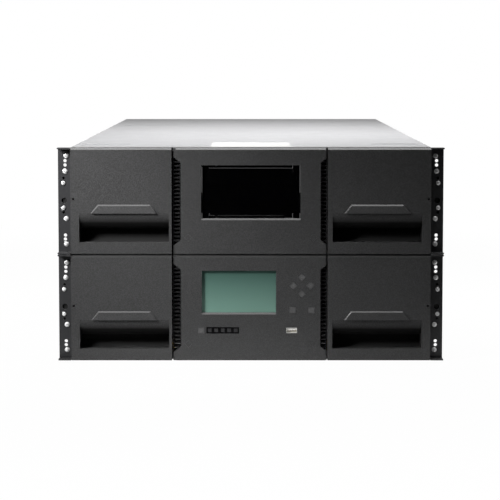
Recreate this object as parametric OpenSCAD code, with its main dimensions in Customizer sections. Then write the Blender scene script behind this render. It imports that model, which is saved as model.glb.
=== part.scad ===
// Rack-mounted data tape library: a base module and an expansion module of three rack
// units each. Every module has two pull-out cartridge magazines, a centre bezel and a
// rear bay for tape drives, power supplies and a controller. One robot climbs on toothed
// racks in the aisle between the magazines and serves both modules.
// Origin: middle of the underside. +X right, +Y towards the back, +Z up. Millimetres.

/* [Overall] */
// Width of the sheet metal chassis
chassis_w = 446; // [400:0.5:500]
// How far each rack ear stands out beside the chassis
ear_w = 17; // [15:0.1:20]
// Height of one module, three rack units
module_h = 133.35; // [120:0.05:180]
// Depth from the ear faces to the rear panels
chassis_d = 850; // [760:1:950]
// How far the bezels stand in front of the ears
bezel_proud = 10; // [9.5:0.1:12]
// How far the rear handles stand behind the rear panels
rear_proud = 13; // [12:0.5:18]

/* [Sheet metal] */
// Thickness of the covers, walls and rear panels
sheet_t = 1.2; // [1:0.1:1.3]
// Width of the turned flanges on the side walls
flange_w = 12; // [8:0.5:14]
// Gap between the two stacked modules
stack_gap = 0.3; // [0.2:0.05:0.6]
// Thickness of the rack ears
ear_t = 2; // [1.5:0.1:2.5]
// Length of the ear's leg along the side wall
ear_leg = 70; // [40:1:120]
// How far the ear's top and bottom lips reach forward
ear_lip_d = 11; // [6:0.5:13]
// Thickness of those lips
ear_lip_t = 1.5; // [1:0.1:2]
// Distance from the chassis's side to the middle of the rack screw holes
rack_hole_out = 9.55; // [8:0.05:11]
// Radius of the rack screw holes
rack_hole_r = 3.6; // [3:0.1:3.8]

/* [Cartridges and magazines] */
// Width of a cartridge, along the magazine
cart_w = 105.4; // [104:0.1:106]
// Length of a cartridge, into the magazine
cart_d = 102; // [100:0.1:103]
// Thickness of a cartridge
cart_h = 21.5; // [21:0.1:21.6]
// Gap between the cartridges of two neighbouring columns
column_gap = 4.6; // [4.4:0.1:6]
// Gap between the cartridges of two neighbouring tiers
tier_gap = 1.3; // [1.25:0.05:1.4]
// Height of the lowest cartridge above the module's underside
tier_base = 16.4; // [16.2:0.1:16.6]
// Thickness of a shelf
shelf_t = 1; // [0.8:0.05:1.1]
// Thickness of the walls between two columns
divider_t = 1.6; // [1.2:0.1:2]
// Thickness of the magazine's outer wall
mag_wall_t = 2; // [1.5:0.1:2.2]
// Running gap between a magazine and the side wall
mag_gap = 2.3; // [1.8:0.1:3]
// Height of the rails that a magazine runs on
rail_h = 3; // [2:0.1:3.2]
// Width of those rails
rail_w = 8; // [5:0.5:10]

/* [Bezels] */
// Thickness of the front skin
skin_t = 3; // [2.5:0.1:3.5]
// Thickness of the rims behind the skin
rim_t = 2; // [1.5:0.1:2.4]
// Gap above and below each bezel
bezel_gap = 0.4; // [0.2:0.05:0.6]
// Chamfer along a bezel's upper and lower edges
bezel_chamfer = 2.4; // [1:0.1:2.8]
// How far a magazine bezel reaches past the chassis's side
bezel_over = 0.7; // [0.2:0.1:0.9]
// How far the left magazine bezels reach in front of the aisle
left_reach = 14.7; // [13:0.1:15]
// How far the right magazine bezels reach in front of the aisle
right_reach = 17.3; // [15:0.1:18]
// Gap between the left magazine bezels and the centre bezels
left_gap = 1.6; // [0.8:0.1:2]
// Gap between the right magazine bezels and the centre bezels
right_gap = 0.8; // [0.5:0.1:1.5]
// Width of the strip beside the centre bezel's raised face, on its right
strip_in = 1.9; // [1:0.1:3]
// How far the strips beside that face stand back
strip_set = 2; // [1:0.1:2.5]

/* [Finger pockets] */
// Distance from the bezel's outer edge to the pocket
pocket_margin = 10.6; // [9:0.1:14]
// Distance from the left bezels' inner edge to the pocket
pocket_margin_in = 3.3; // [3:0.1:8]
// Underside of the pocket above the module's underside
pocket_z = 15.2; // [12:0.1:18]
// Height of a pocket
pocket_h = 36.4; // [34:0.1:40]
// Depth of a pocket behind the bezel's face
pocket_d = 27; // [22:0.5:28]
// Wall around the pocket
pocket_wall = 2; // [1.5:0.1:2.4]
// Height of the raised brow above the pocket
brow_h = 9.2; // [7:0.1:12]
// How far the brow stands out at its foot
brow_out = 3; // [1.5:0.1:3.2]
// Distance from the pocket's end to the brow's foot
brow_inset = 15.9; // [8:0.1:25]
// How far the brow's slanted ends lean in
brow_lean = 8; // [4:0.1:14]

/* [Vents] */
// Distance from a module's underside and top to a vent's outer side
vent_margin = 12.3; // [9:0.1:20]
// How much shorter a vent is at each end of its inner side
vent_lean = 5.9; // [3:0.1:9]
// Width of a vent
vent_w = 8.3; // [5:0.1:12]
// Distance between two slats
slat_pitch = 4.9; // [4:0.1:6]
// Thickness of a slat
slat_t = 1.5; // [1:0.1:2]

/* [Window and screen] */
// Distance from the vents to the window in the expansion module
window_margin = 24.8; // [20:0.1:40]
// Height of the window
window_h = 66.2; // [60:0.2:70]
// Lower edge of the window above the module's underside
window_z = 45.1; // [40:0.1:48]
// Chamfer around the window and the screen
frame_chamfer = 2; // [1:0.1:2.4]
// Thickness of the window pane
pane_t = 2; // [1.5:0.1:3]
// Distance from the left vent to the screen opening
screen_margin = 25.6; // [20:0.1:40]
// Height of the screen opening
screen_h = 52.6; // [48:0.2:54]
// Distance from the screen opening to the middle of the arrow buttons
screen_to_pad = 32.3; // [24:0.1:40]
// Lower edge of the screen opening above the module's underside
screen_z = 60.4; // [58:0.1:62]

/* [Operator controls] */
// Distance from the right vent to the middle of the arrow buttons
pad_margin = 22.9; // [20:0.1:30]
// Middle of the arrow buttons above the underside
pad_z = 94.4; // [92:0.1:97]
// Distance from the pad's middle to each arrow button
pad_r = 10.6; // [9:0.1:12]
// Side of an arrow button
arrow_a = 6.6; // [5:0.1:7.2]
// Distance from the pad's middle to each square button
key_dx = 11.7; // [9:0.1:13]
// Middle of the square buttons above the underside
key_z = 63.9; // [62:0.1:66]
// Side of a square button
key_a = 7.4; // [6:0.1:8]
// Distance from the left vent to the middle of the power button
power_margin = 24.6; // [22:0.1:30]
// Middle of the lower row of controls above the underside
row_z = 38.2; // [36:0.1:40]
// Play around a button
button_play = 0.3; // [0.2:0.05:0.4]
// Travel of a button
button_travel = 1; // [0.5:0.1:1.2]
// Number of status lights
light_n = 5; // [3:1:5]
// Height of the status light strip
strip_h = 8; // [6:0.1:9]
// Distance from the middle of the power button to the strip
strip_gap = 6.8; // [5:0.1:9]
// Distance between two status lights
light_pitch = 8.12; // [7.5:0.02:8.4]
// Side of a status light
light_a = 5; // [3:0.1:5.6]
// Distance from the middle of the arrow buttons to the USB port, to its left
usb_from_pad = 12.7; // [8:0.1:16]
// Distance from the vents to the corner plugs
plug_margin = 8.9; // [8:0.1:12]
// Height of the corner plugs above the underside
plug_z = 21.1; // [19:0.1:23]
// Side of a corner plug
plug_a = 6.6; // [5:0.1:8]

/* [Robot] */
// Height range left free for the robot's frame
frame_t = 10; // [9:0.1:10.5]
// Number of rack teeth in one module
rack_teeth = 28; // [27:1:29]
// Teeth of a climbing pinion
pinion_teeth = 12; // [11:1:12]
// Pressure angle of the teeth
pressure_angle = 25; // [22:1:26]
// Play between meshing teeth
backlash = 0.3; // [0.2:0.05:0.5]
// Distance from the magazines to the racks' pitch line
rack_in = 13; // [12.5:0.1:14]
// Width of racks and pinions
rack_face = 9; // [7:0.5:9.5]
// Radius of the climbing shafts
shaft_r = 2.5; // [2:0.1:2.5]
// Radius of the guide rods
rod_r = 4; // [3:0.1:4.2]
// Distance of the guide rods from the middle
rod_x = 50; // [40:0.5:52]
// Half the length of the carriage
carriage_half = 40; // [30:0.5:45]

/* [Rear units] */
// Width of a drive sled
sled_w = 149; // [146:0.5:152]
// Height of a drive sled
sled_h = 41.4; // [40:0.1:41.8]
// Distance between two drive bays
sled_pitch = 43.2; // [43:0.05:43.4]
// Room between the end of the aisle and the drives
sled_gap = 14.6; // [5:0.1:30]
// Distance from the drives' bays to the supply and controller bays
psu_gap = 13.4; // [8:0.1:20]
// Length of a power supply
psu_d = 230; // [180:1:260]
// Play of a rear unit in its panel
unit_play = 0.6; // [0.4:0.05:0.8]

/* [Hidden] */
$fn = 48;

// Depth stations
ear_span = chassis_w + 2 * ear_w;
rack_hole_span = chassis_w + 2 * rack_hole_out;
front_y = brow_out - (brow_out + bezel_proud + chassis_d + rear_proud) / 2;
ear_y = front_y + bezel_proud;
rear_y = ear_y + chassis_d;
bezel_back = ear_y - 0.3;

// Width stations
wall_in = chassis_w / 2 - sheet_t;
mag_out = wall_in - mag_gap;
cart_back = mag_out - mag_wall_t - 1;
mag_in = cart_back - cart_d - 1.5;
rack_x = mag_in - rack_in;
pan_in = rack_x + 4;
mag_bezel_out = chassis_w / 2 + bezel_over;
left_bezel_in = mag_in - left_reach;
right_bezel_in = mag_in - right_reach;
centre_left = left_bezel_in - left_gap;
centre_right = right_bezel_in - right_gap;
centre_face = centre_right - strip_in;
vent_in = centre_right - vent_w;
window_w = 2 * (vent_in - window_margin);
screen_left = vent_in - screen_margin;
pad_x = vent_in - pad_margin;
screen_w = pad_x - screen_to_pad + screen_left;
power_x = vent_in - power_margin;
strip_left = power_x - strip_gap;
strip_w = light_n * light_pitch;
usb_x = pad_x - usb_from_pad;
plug_x = vent_in - plug_margin;

// Height stations
total_h = 2 * module_h;
function wall_top(k) = k == 0 ? module_h - stack_gap : total_h - sheet_t;
function floor_top(k) = k * module_h + sheet_t;
mag_floor = sheet_t + rail_h + 0.3;
tier_pitch = cart_h + tier_gap;
tiers = floor((module_h - 4.1 - tier_base + tier_pitch - cart_h) / tier_pitch);
mag_top = tier_base + (tiers - 1) * tier_pitch + cart_h + 1.2;
vent_z = module_h / 2 - 0.4;
vent_h = module_h - 2 * vent_margin;

// Gear teeth of the climbing racks
tooth_pitch = module_h / rack_teeth;
tooth_m = tooth_pitch / PI;
pitch_r = pinion_teeth * tooth_m / 2;
tip_h = 0.9 * tooth_m;
root_h = 1.15 * tooth_m;

// Columns and tiers of cartridges, and the room beside a cartridge in its cell
column_pitch = cart_w + column_gap;
cell_play = column_gap - divider_t;

// The aisle, from front to back: front racks, platform beam, columns, beam, rear racks
aisle_front = ear_y + 22.5;
beam_t = 7.5;
front_rack_y = aisle_front;
front_beam_y = front_rack_y + rack_face + 1;
column_y = front_beam_y + beam_t + 1;
rear_beam_y = column_y + 3 * column_pitch + cart_w + 1;
rear_rack_y = rear_beam_y + beam_t + 0.5;
aisle_back = rear_rack_y + rack_face + 1;
mag_back = column_y + 3 * column_pitch + cart_w + 4;

// The robot
beam_z = sheet_t + 1.5;
pinion_x = rack_x - pitch_r;
pinion_z = 13.3;
carriage_y = column_y + 1.5 * column_pitch + cell_play / 2 + cart_w / 2 - 1;
picker_floor = tier_base - 1.2;
picker_side = cart_w / 2 + 3;
tray_half = cart_w / 2 + 1.3;

module block(from, to) {
    translate(from) cube(to - from);
}

// Outline in the XZ plane, pushed through from y0 to y1
module along_y(y0, y1) {
    translate([0, y1, 0]) rotate([90, 0, 0]) linear_extrude(y1 - y0) children();
}

// Outline in the YZ plane, pushed through from x0 to x1
module along_x(x0, x1) {
    translate([x0, 0, 0]) rotate([90, 0, 90]) linear_extrude(x1 - x0) children();
}

module pin_y(x, z, y0, y1, r) {
    translate([x, y0, z]) rotate([-90, 0, 0]) cylinder(h = y1 - y0, r = r);
}

module on_side(s) {
    if (s < 0) mirror([1, 0, 0]) children();
    else children();
}

module in_module(k) {
    translate([0, 0, k * module_h]) children();
}

// ---------------------------------------------------------------- chassis

module side_walls() color("silver") {
    for (k = [0, 1], s = [-1, 1]) on_side(s) difference() {
        union() {
            block([wall_in, ear_y + ear_t, floor_top(k)], [wall_in + sheet_t, rear_y, wall_top(k)]);
            for (z = [floor_top(k), wall_top(k) - sheet_t])
                block([wall_in - flange_w, ear_y + ear_t + 1, z], [wall_in + 0.1, rear_y - sheet_t, z + sheet_t]);
        }
        // Slots for cooling air beside the rear units
        for (i = [0 : 17])
            block([wall_in - 1, rear_y - 60 - i * 9, k * module_h + 40],
                  [wall_in + sheet_t + 1, rear_y - 56 - i * 9, k * module_h + 95]);
    }
}

module bottom_cover() color("silver") {
    block([-chassis_w / 2, ear_y + ear_t, 0], [chassis_w / 2, rear_y, sheet_t]);
}

// Cut in the floor for one toothed rack
module rack_notch(y) {
    for (s = [-1, 1]) on_side(s)
        block([pan_in - 1, y - 0.3, -1], [rack_x + 7.3, y + rack_face + 0.3, module_h]);
}

module upper_floor_pan() color("silver") difference() {
    block([-chassis_w / 2, ear_y + ear_t, module_h], [chassis_w / 2, rear_y, module_h + sheet_t]);
    block([-pan_in, aisle_front - 1, module_h - 1], [pan_in, aisle_back, module_h + sheet_t + 1]);
    in_module(1) {
        rack_notch(front_rack_y);
        rack_notch(rear_rack_y);
    }
}

module top_cover() color("gainsboro") {
    difference() {
        block([-chassis_w / 2, ear_y + 0.2, total_h - sheet_t], [chassis_w / 2, rear_y, total_h]);
        // Pressed-in pads behind the front corners and the long step near the back
        for (s = [-1, 1]) on_side(s) {
            block([155, ear_y + 25, total_h - 0.4], [213, ear_y + 69, total_h + 1]);
            block([118, ear_y + 600, total_h - 0.5], [206, ear_y + 603, total_h + 1]);
        }
    }
}

// Openings of the rear panel: three drive bays, two supply bays and the controller bay
bay_x = sled_w / 2 + unit_play;
bays = floor((module_h - 3.7) / sled_pitch);
sled_d = rear_y - aisle_back - sled_gap;
psu_x0 = bay_x + psu_gap;
psu_w = wall_in - psu_x0 - flange_w - 9.3;
psu_h = (module_h - 11.35) / 2 - sheet_t / 2 - 0.4;
function bay_z(i) = sheet_t + 0.9 + i * sled_pitch;
function psu_z(i) = sheet_t + 0.5 + i * (psu_h + 4);

module rear_panel(k) in_module(k) difference() {
    z_low = sheet_t + 0.2;
    block([-wall_in + 0.2, rear_y - sheet_t, z_low],
          [wall_in - 0.2, rear_y, (k == 0 ? module_h - stack_gap : module_h - sheet_t) - 0.2]);
    for (i = [0 : bays - 1])
        block([-bay_x, rear_y - 3, bay_z(i) - unit_play + 0.2],
              [bay_x, rear_y + 1, bay_z(i) + sled_h + unit_play - 0.2]);
    for (i = [0, 1])
        block([-psu_x0 - psu_w - unit_play, rear_y - 3, psu_z(i) - unit_play],
              [-psu_x0 + unit_play, rear_y + 1, psu_z(i) + psu_h + unit_play]);
    block([psu_x0 - unit_play, rear_y - 3, psu_z(0) - unit_play],
          [psu_x0 + psu_w + unit_play, rear_y + 1, psu_z(1) + psu_h + unit_play]);
}

module base_rear_panel() color("silver") rear_panel(0);
module upper_rear_panel() color("silver") rear_panel(1);

// Screws and holes of an ear: height above the module's underside, and distance from
// the chassis's side
ear_mid = module_h / 2;
big_screws = [[module_h - 11, 6.8], [module_h - 30, 8.2], [ear_mid - 22.6, 7], [12.2, 7]];
small_screws = [[module_h - 44.8, 10.5], [ear_mid - 9.2, 10.6]];
clear_holes = [[module_h - 17, 8.3], [module_h - 22.4, 8.3], [23.2, 8.4], [18.3, 8.5]];
thread_holes = [[module_h - 38.6, 10], [ear_mid - 15.1, 10.2]];

module ear_hole(h, r) {
    pin_y(chassis_w / 2 + h[1], h[0], ear_y - 1, ear_y + ear_t + 1, r);
}

module ear(k) in_module(k) {
    ear_in = chassis_w / 2 + 0.1;
    z_low = 0.6;
    z_top = module_h - 0.6;
    difference() {
        union() {
            block([ear_in, ear_y, z_low], [ear_span / 2, ear_y + ear_t, z_top]);
            block([ear_in, ear_y, z_low], [ear_in + sheet_t, ear_y + ear_leg, z_top]);
            for (z = [z_low, z_top - ear_lip_t])
                block([mag_bezel_out + 0.5, ear_y - ear_lip_d, z], [ear_span / 2, ear_y + ear_t, z + ear_lip_t]);
        }
        pin_y(rack_hole_span / 2, module_h / 2, ear_y - 1, ear_y + ear_t + 1, rack_hole_r);
        for (h = clear_holes) ear_hole(h, 2.1);
        for (h = thread_holes) ear_hole(h, 1.9);
        for (h = big_screws) ear_hole(h, 1.6);
        for (h = small_screws) ear_hole(h, 1.6);
    }
}

module base_rack_ears() color("dimgray") for (s = [-1, 1]) on_side(s) ear(0);
module upper_rack_ears() color("dimgray") for (s = [-1, 1]) on_side(s) ear(1);

// Pan-head screw with a socket, head towards the front
module ear_screw(x, z, r) {
    difference() {
        union() {
            intersection() {
                pin_y(x, z, ear_y - 2, ear_y, r);
                translate([x, ear_y - 2 + 1.35 * r, z]) sphere(r = 1.35 * r);
            }
            pin_y(x, z, ear_y - 0.5, ear_y + ear_t + 1.5, 1.5);
        }
        translate([x, ear_y - 3, z]) rotate([-90, 0, 0]) cylinder(h = 2.2, r = 1.2, $fn = 6);
    }
}

module ear_screws() color("lightgray")
    for (k = [0, 1], s = [-1, 1]) on_side(s) in_module(k) {
        for (h = big_screws) ear_screw(chassis_w / 2 + h[1], h[0], 3.1);
        for (h = small_screws) ear_screw(chassis_w / 2 + h[1], h[0], 2.6);
    }

// ---------------------------------------------------------------- front of the modules

// Rear cavity and skin shared by all bezels: an outline that is chamfered along its
// upper and lower edges, hollow behind the skin
module bezel_shell(x0, x1) difference() {
    z0 = bezel_gap;
    z1 = module_h - bezel_gap;
    c = bezel_chamfer;
    along_x(x0, x1) polygon([
        [front_y, z0 + c / 3], [front_y + c / 3, z0], [bezel_back, z0],
        [bezel_back, z1], [front_y + c, z1], [front_y, z1 - c],
    ]);
    block([x0 + rim_t, front_y + skin_t, z0 + rim_t], [x1 - rim_t, ear_y + 1, z1 - rim_t]);
}

pocket_w = mag_bezel_out - pocket_margin - left_bezel_in - pocket_margin_in;
brow_foot_w = pocket_w - 2 * brow_inset;
brow_top_w = brow_foot_w - 2 * brow_lean;
pocket_x0 = mag_bezel_out - pocket_margin - pocket_w;
pocket_mid = pocket_x0 + pocket_w / 2;

// Rounded back of the finger pocket, seen from the side
module scoop_outline(grow, depth) {
    zc = pocket_z + pocket_h / 2;
    r = pocket_h / 2 + grow;
    intersection() {
        union() {
            translate([front_y + depth - pocket_h / 2, zc]) circle(r = r, $fn = 96);
            translate([front_y - 10, zc - r]) square([10 + depth - pocket_h / 2, 2 * r]);
        }
        translate([front_y, 0]) square([depth + grow, module_h]);
    }
}

// Raised brow: a wedge that is cut to a trapezoid from the front
module brow() intersection() {
    foot = pocket_z + pocket_h;
    along_x(pocket_mid - brow_foot_w, pocket_mid + brow_foot_w) polygon([
        [front_y + 0.5, foot], [front_y - brow_out, foot], [front_y - brow_out / 2, foot + brow_h],
        [front_y + 0.5, foot + brow_h],
    ]);
    along_y(front_y - brow_out - 1, front_y + 1) polygon([
        [pocket_mid - brow_foot_w / 2, foot], [pocket_mid + brow_foot_w / 2, foot],
        [pocket_mid + brow_top_w / 2, foot + brow_h], [pocket_mid - brow_top_w / 2, foot + brow_h],
    ]);
}

// Magazine bezel on the right-hand side; the left one is its mirror image
module magazine_bezel(k, s, inner) on_side(s) in_module(k) difference() {
    union() {
        bezel_shell(inner, mag_bezel_out);
        along_x(pocket_x0 - pocket_wall, pocket_x0 + pocket_w + pocket_wall)
            scoop_outline(pocket_wall, pocket_d);
        brow();
    }
    translate([0, -0.01, 0]) along_x(pocket_x0, pocket_x0 + pocket_w) scoop_outline(0, pocket_d);
    // Hole for the emergency release pin
    pin_y(mag_bezel_out - 3.2, module_h / 2 + 2.4, front_y - 1, ear_y + 1, 1.4);
}

// Half the height of a vent at x, which grows along its slanted ends
function vent_half(x) = vent_h / 2 - vent_lean * (centre_right - x) / vent_w;

// Outline of the right-hand vent up to x_out, drawn in by a fit
module vent_outline(x_out, fit) {
    polygon([
        [vent_in + fit, -vent_half(vent_in + fit) + fit], [x_out, -vent_half(x_out) + fit],
        [x_out, vent_half(x_out) - fit], [vent_in + fit, vent_half(vent_in + fit) - fit],
    ]);
}

module plug_outline(x, z, a) {
    translate([x, z]) rotate(45) square(a, center = true);
}

// Opening with a chamfer towards the front; the chamfer is a frame of four planes
module framed_opening(x, z, w, h) {
    c = frame_chamfer;
    along_y(front_y - 1, ear_y + 1) translate([x, z]) square([w, h]);
    along_x(x, x + w) polygon([[front_y - 1, z - c - 1], [front_y + c, z], [front_y - 1, z]]);
    translate([x + w, 0, 0]) along_y(front_y - 1, front_y + 0.4) translate([0, z]) square([0.6, h]);
}

module centre_bezel_blank(k) difference() {
    bezel_shell(-centre_left, centre_right);
    // Strips beside the raised face stand back
    block([-centre_left - 1, front_y - 1, 0], [-centre_face, front_y + strip_set, module_h]);
    block([centre_face, front_y - 1, 0], [centre_right + 1, front_y + strip_set, module_h]);
    for (s = [-1, 1]) on_side(s)
        along_y(front_y - 1, ear_y + 1) translate([0, vent_z]) vent_outline(centre_left + 1, 0);
    for (x = [-plug_x, plug_x])
        along_y(front_y - 1, front_y + skin_t + 1) plug_outline(x, plug_z, plug_a);
}

module base_centre_bezel() color("dimgray") difference() {
    centre_bezel_blank(0);
    framed_opening(-screen_left, screen_z, screen_w, screen_h);
    along_y(front_y - 1, ear_y) {
        for (a = [0 : 90 : 270])
            plug_outline(pad_x + pad_r * cos(a), pad_z + pad_r * sin(a), arrow_a + 2 * button_play);
        for (x = [pad_x - key_dx, pad_x + key_dx])
            translate([x, key_z]) square(key_a + 2 * button_play, center = true);
        translate([-power_x, row_z]) square(key_a + 2 * button_play, center = true);
        translate([-strip_left - 0.2, row_z - strip_h / 2 - 0.2]) square([strip_w + 0.4, strip_h + 0.4]);
        translate([usb_x, row_z]) square([usb_w + 0.4, usb_h + 0.4], center = true);
    }
}

module upper_centre_bezel() color("dimgray") in_module(1) difference() {
    centre_bezel_blank(1);
    framed_opening(-window_w / 2, window_z, window_w, window_h);
}

// Slats of one vent: an angled blade at every pitch, between two upright strips
module louvre(x_out) {
    n = floor(vent_h / slat_pitch / 2);
    y0 = front_y + strip_set + 1;
    intersection() {
        along_y(front_y, ear_y) translate([0, vent_z]) vent_outline(x_out, 0.15);
        union() {
            for (i = [-n : n], z = vent_z + i * slat_pitch)
                along_x(vent_in, x_out) polygon([
                    [y0, z - slat_t / 2], [bezel_back, z + slat_t / 2],
                    [bezel_back, z + slat_t * 1.5], [y0, z + slat_t / 2],
                ]);
            for (x = [vent_in + 0.15, x_out - 1.2])
                block([x, y0, 0], [x + 1.2, bezel_back, module_h]);
        }
    }
}

module centre_louvres() color("dimgray") for (k = [0, 1]) in_module(k) {
    louvre(centre_right - 0.1);
    mirror([1, 0, 0]) louvre(centre_left - 0.1);
}

// Sheet metal plate that closes the front of the aisle and carries the centre bezel
module bulkhead(k) in_module(k) difference() {
    z_low = sheet_t + 0.1;
    z_top = (k == 0 ? module_h - stack_gap : module_h - sheet_t) - 0.1;
    union() {
        block([-centre_right, ear_y, z_low], [centre_right, ear_y + sheet_t, z_top]);
        block([-centre_right, ear_y, z_low], [centre_right, ear_y + 18, z_low + sheet_t]);
        block([-centre_right, ear_y, z_top - sheet_t], [centre_right, ear_y + 18, z_top]);
    }
    if (k == 1)
        along_y(ear_y - 1, ear_y + sheet_t + 1)
            translate([-window_w / 2 - 1, window_z - 1]) square([window_w + 2, window_h + 2]);
}

module front_bulkheads() color("silver") {
    bulkhead(0);
    bulkhead(1);
}

pane_y = front_y + skin_t + 0.1;

module window_pane() color([0.12, 0.12, 0.14]) in_module(1)
    block([-window_w / 2 - 3, pane_y, window_z - 3],
          [window_w / 2 + 3, pane_y + pane_t, window_z + window_h + 3]);

// Bright clips above and below the window that hold the pane
module window_retainers() color("silver") in_module(1) {
    y0 = pane_y + pane_t + 0.1;
    for (z = [window_z - 2, window_z + window_h - 3.6], x = [[-52.5, -44.2], [-41.5, 41.8]])
        block([x[0], y0, z], [x[1], bezel_back, z + 5.6]);
}

board_y = front_y + 7.9;
board_t = 1.4;
board_w = 2 * vent_in - 5;

module lcd_module() color([0.35, 0.45, 0.42]) {
    y0 = front_y + skin_t + 0.1;
    block([-screen_left - 3, y0, screen_z - 3],
          [-screen_left + screen_w + 3, board_y - 0.1, screen_z + screen_h + 3]);
}

module status_lens() color("black") difference() {
    block([-strip_left, front_y + 0.6, row_z - strip_h / 2],
          [-strip_left + strip_w, board_y - 0.1, row_z + strip_h / 2]);
    for (i = [0 : light_n - 1], x = -strip_left + (i + 0.5) * light_pitch)
        block([x - light_a / 2, front_y, row_z - light_a / 2],
              [x + light_a / 2, front_y + 1, row_z + light_a / 2]);
}

usb_w = 13.2;
usb_h = 6.6;

module usb_port() color("silver") {
    difference() {
        block([usb_x - usb_w / 2, front_y + 0.3, row_z - usb_h / 2],
              [usb_x + usb_w / 2, board_y - 0.1, row_z + usb_h / 2]);
        block([usb_x - usb_w / 2 + 0.5, front_y - 1, row_z - usb_h / 2 + 0.5],
              [usb_x + usb_w / 2 - 0.5, board_y - 1.5, row_z + usb_h / 2 - 0.5]);
    }
    block([usb_x - 5.5, front_y + 1.3, row_z + 0.3], [usb_x + 5.5, board_y - 1, row_z + 2.2]);
}

module control_board() color("darkgreen") {
    block([-board_w / 2, board_y, 12], [board_w / 2, board_y + board_t, module_h - 12]);
}

module bezel_plugs() color("dimgray") for (k = [0, 1], x = [-plug_x, plug_x]) in_module(k)
    along_y(front_y + 0.1, front_y + skin_t) plug_outline(x, plug_z, plug_a - 0.3);

// ---------------------------------------------------------------- magazines and bays

// Straight toothed rack on the right of the aisle, teeth towards the middle
module lift_rack(k) {
    half = tooth_pitch / 4 - backlash / 4;
    z_low = k == 0 ? sheet_t : module_h;
    z_top = wall_top(k) - (k == 0 ? 0 : 0.2);
    w_tip = half - tip_h * tan(pressure_angle);
    w_root = half + root_h * tan(pressure_angle);
    i_low = floor((z_low - pinion_z) / tooth_pitch) - 1;
    i_top = ceil((z_top - pinion_z) / tooth_pitch) + 1;
    intersection() {
        along_y(0, rack_face) polygon([
            [rack_x + 7, pinion_z + i_low * tooth_pitch], [rack_x + 7, pinion_z + i_top * tooth_pitch],
            for (i = [i_top : -1 : i_low], z = pinion_z + i * tooth_pitch) each [
                [rack_x + root_h, z + w_root], [rack_x - tip_h, z + w_tip],
                [rack_x - tip_h, z - w_tip], [rack_x + root_h, z - w_root],
            ],
        ]);
        block([0, -1, z_low], [chassis_w, rack_face + 1, z_top]);
    }
}

module lift_racks() color("gray")
    for (k = [0, 1], s = [-1, 1], y = [front_rack_y, rear_rack_y])
        on_side(s) translate([0, y, 0]) lift_rack(k);

module bay_rails() color("ivory")
    for (k = [0, 1], s = [-1, 1], x = [mag_in + 4, wall_in - flange_w - rail_w - 1])
        on_side(s) block([x, ear_y + 4, floor_top(k)], [x + rail_w, mag_back + 6, floor_top(k) + rail_h]);

// Open-sided box with a wall behind and walls between the four columns
module magazine_frame(k, s) on_side(s) in_module(k) {
    y0 = bezel_back + 0.2;
    difference() {
        block([mag_in, y0, mag_floor], [mag_out, mag_back, mag_top]);
        block([mag_in - 1, y0 - 1, mag_floor + 1.5],
              [mag_out - mag_wall_t, column_y - divider_t - 1, mag_top - 1]);
        for (c = [0 : 3]) {
            y = column_y - 1 + c * column_pitch;
            block([mag_in - 1, y, mag_floor + 1.5],
                  [mag_out - mag_wall_t, y + column_pitch - divider_t, mag_top - 1]);
        }
    }
}

module magazine_shelves(k, s) on_side(s) in_module(k)
    for (c = [0 : 3], t = [0 : tiers - 1])
        block([mag_in + 0.2, column_y - 0.8 + c * column_pitch, tier_base + t * tier_pitch - shelf_t],
              [mag_out - mag_wall_t - 0.2, column_y - 1.2 + (c + 1) * column_pitch - divider_t,
               tier_base + t * tier_pitch - 0.1]);

// Tape cartridge with its label edge towards the aisle and grip notches in both sides
module cartridge() difference() {
    linear_extrude(cart_h) polygon([
        [0, 0], [cart_d - 5, 0], [cart_d, 5], [cart_d, cart_w - 5], [cart_d - 5, cart_w], [0, cart_w],
    ]);
    block([-1, 12, 4], [0.8, cart_w - 12, cart_h - 4]);
    for (y = [-1, cart_w - 3]) block([8, y, 7], [14, y + 4, cart_h - 7]);
    block([20, 10, cart_h - 0.6], [90, cart_w - 10, cart_h + 1]);
}

module magazine_cartridges(k, s, first) on_side(s) in_module(k)
    for (c = [first : 3], t = [0 : tiers - 1])
        translate([cart_back - cart_d, column_y + c * column_pitch + cell_play / 2 - 1,
                   tier_base + t * tier_pitch])
            cartridge();

module base_left_bezel() color("dimgray") magazine_bezel(0, -1, left_bezel_in);
module base_right_bezel() color("dimgray") magazine_bezel(0, 1, right_bezel_in);
module upper_left_bezel() color("dimgray") magazine_bezel(1, -1, left_bezel_in);
module upper_right_bezel() color("dimgray") magazine_bezel(1, 1, right_bezel_in);
module base_left_frame() color("darkslategray") magazine_frame(0, -1);
module base_right_frame() color("darkslategray") magazine_frame(0, 1);
module upper_left_frame() color("darkslategray") magazine_frame(1, -1);
module upper_right_frame() color("darkslategray") magazine_frame(1, 1);
module base_left_shelves() color("slategray") magazine_shelves(0, -1);
module base_right_shelves() color("slategray") magazine_shelves(0, 1);
module upper_left_shelves() color("slategray") magazine_shelves(1, -1);
module upper_right_shelves() color("slategray") magazine_shelves(1, 1);
module base_left_cartridges() color("steelblue") magazine_cartridges(0, -1, 1);
module base_right_cartridges() color("steelblue") magazine_cartridges(0, 1, 0);
module upper_left_cartridges() color("steelblue") magazine_cartridges(1, -1, 1);
module upper_right_cartridges() color("steelblue") magazine_cartridges(1, 1, 0);

// ---------------------------------------------------------------- buttons

// Cap in its bezel hole with a wider foot behind the skin
module button(x, z, a, turn) {
    foot_y = front_y + skin_t + 0.1;
    along_y(front_y - 0.2, foot_y + 0.1) translate([x, z]) rotate(turn) square(a, center = true);
    pin_y(x, z, foot_y, board_y - button_travel - 0.2, a / 4);
    along_y(foot_y, foot_y + 1.4) translate([x, z]) rotate(turn) square(a + 1.6, center = true);
}

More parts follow.
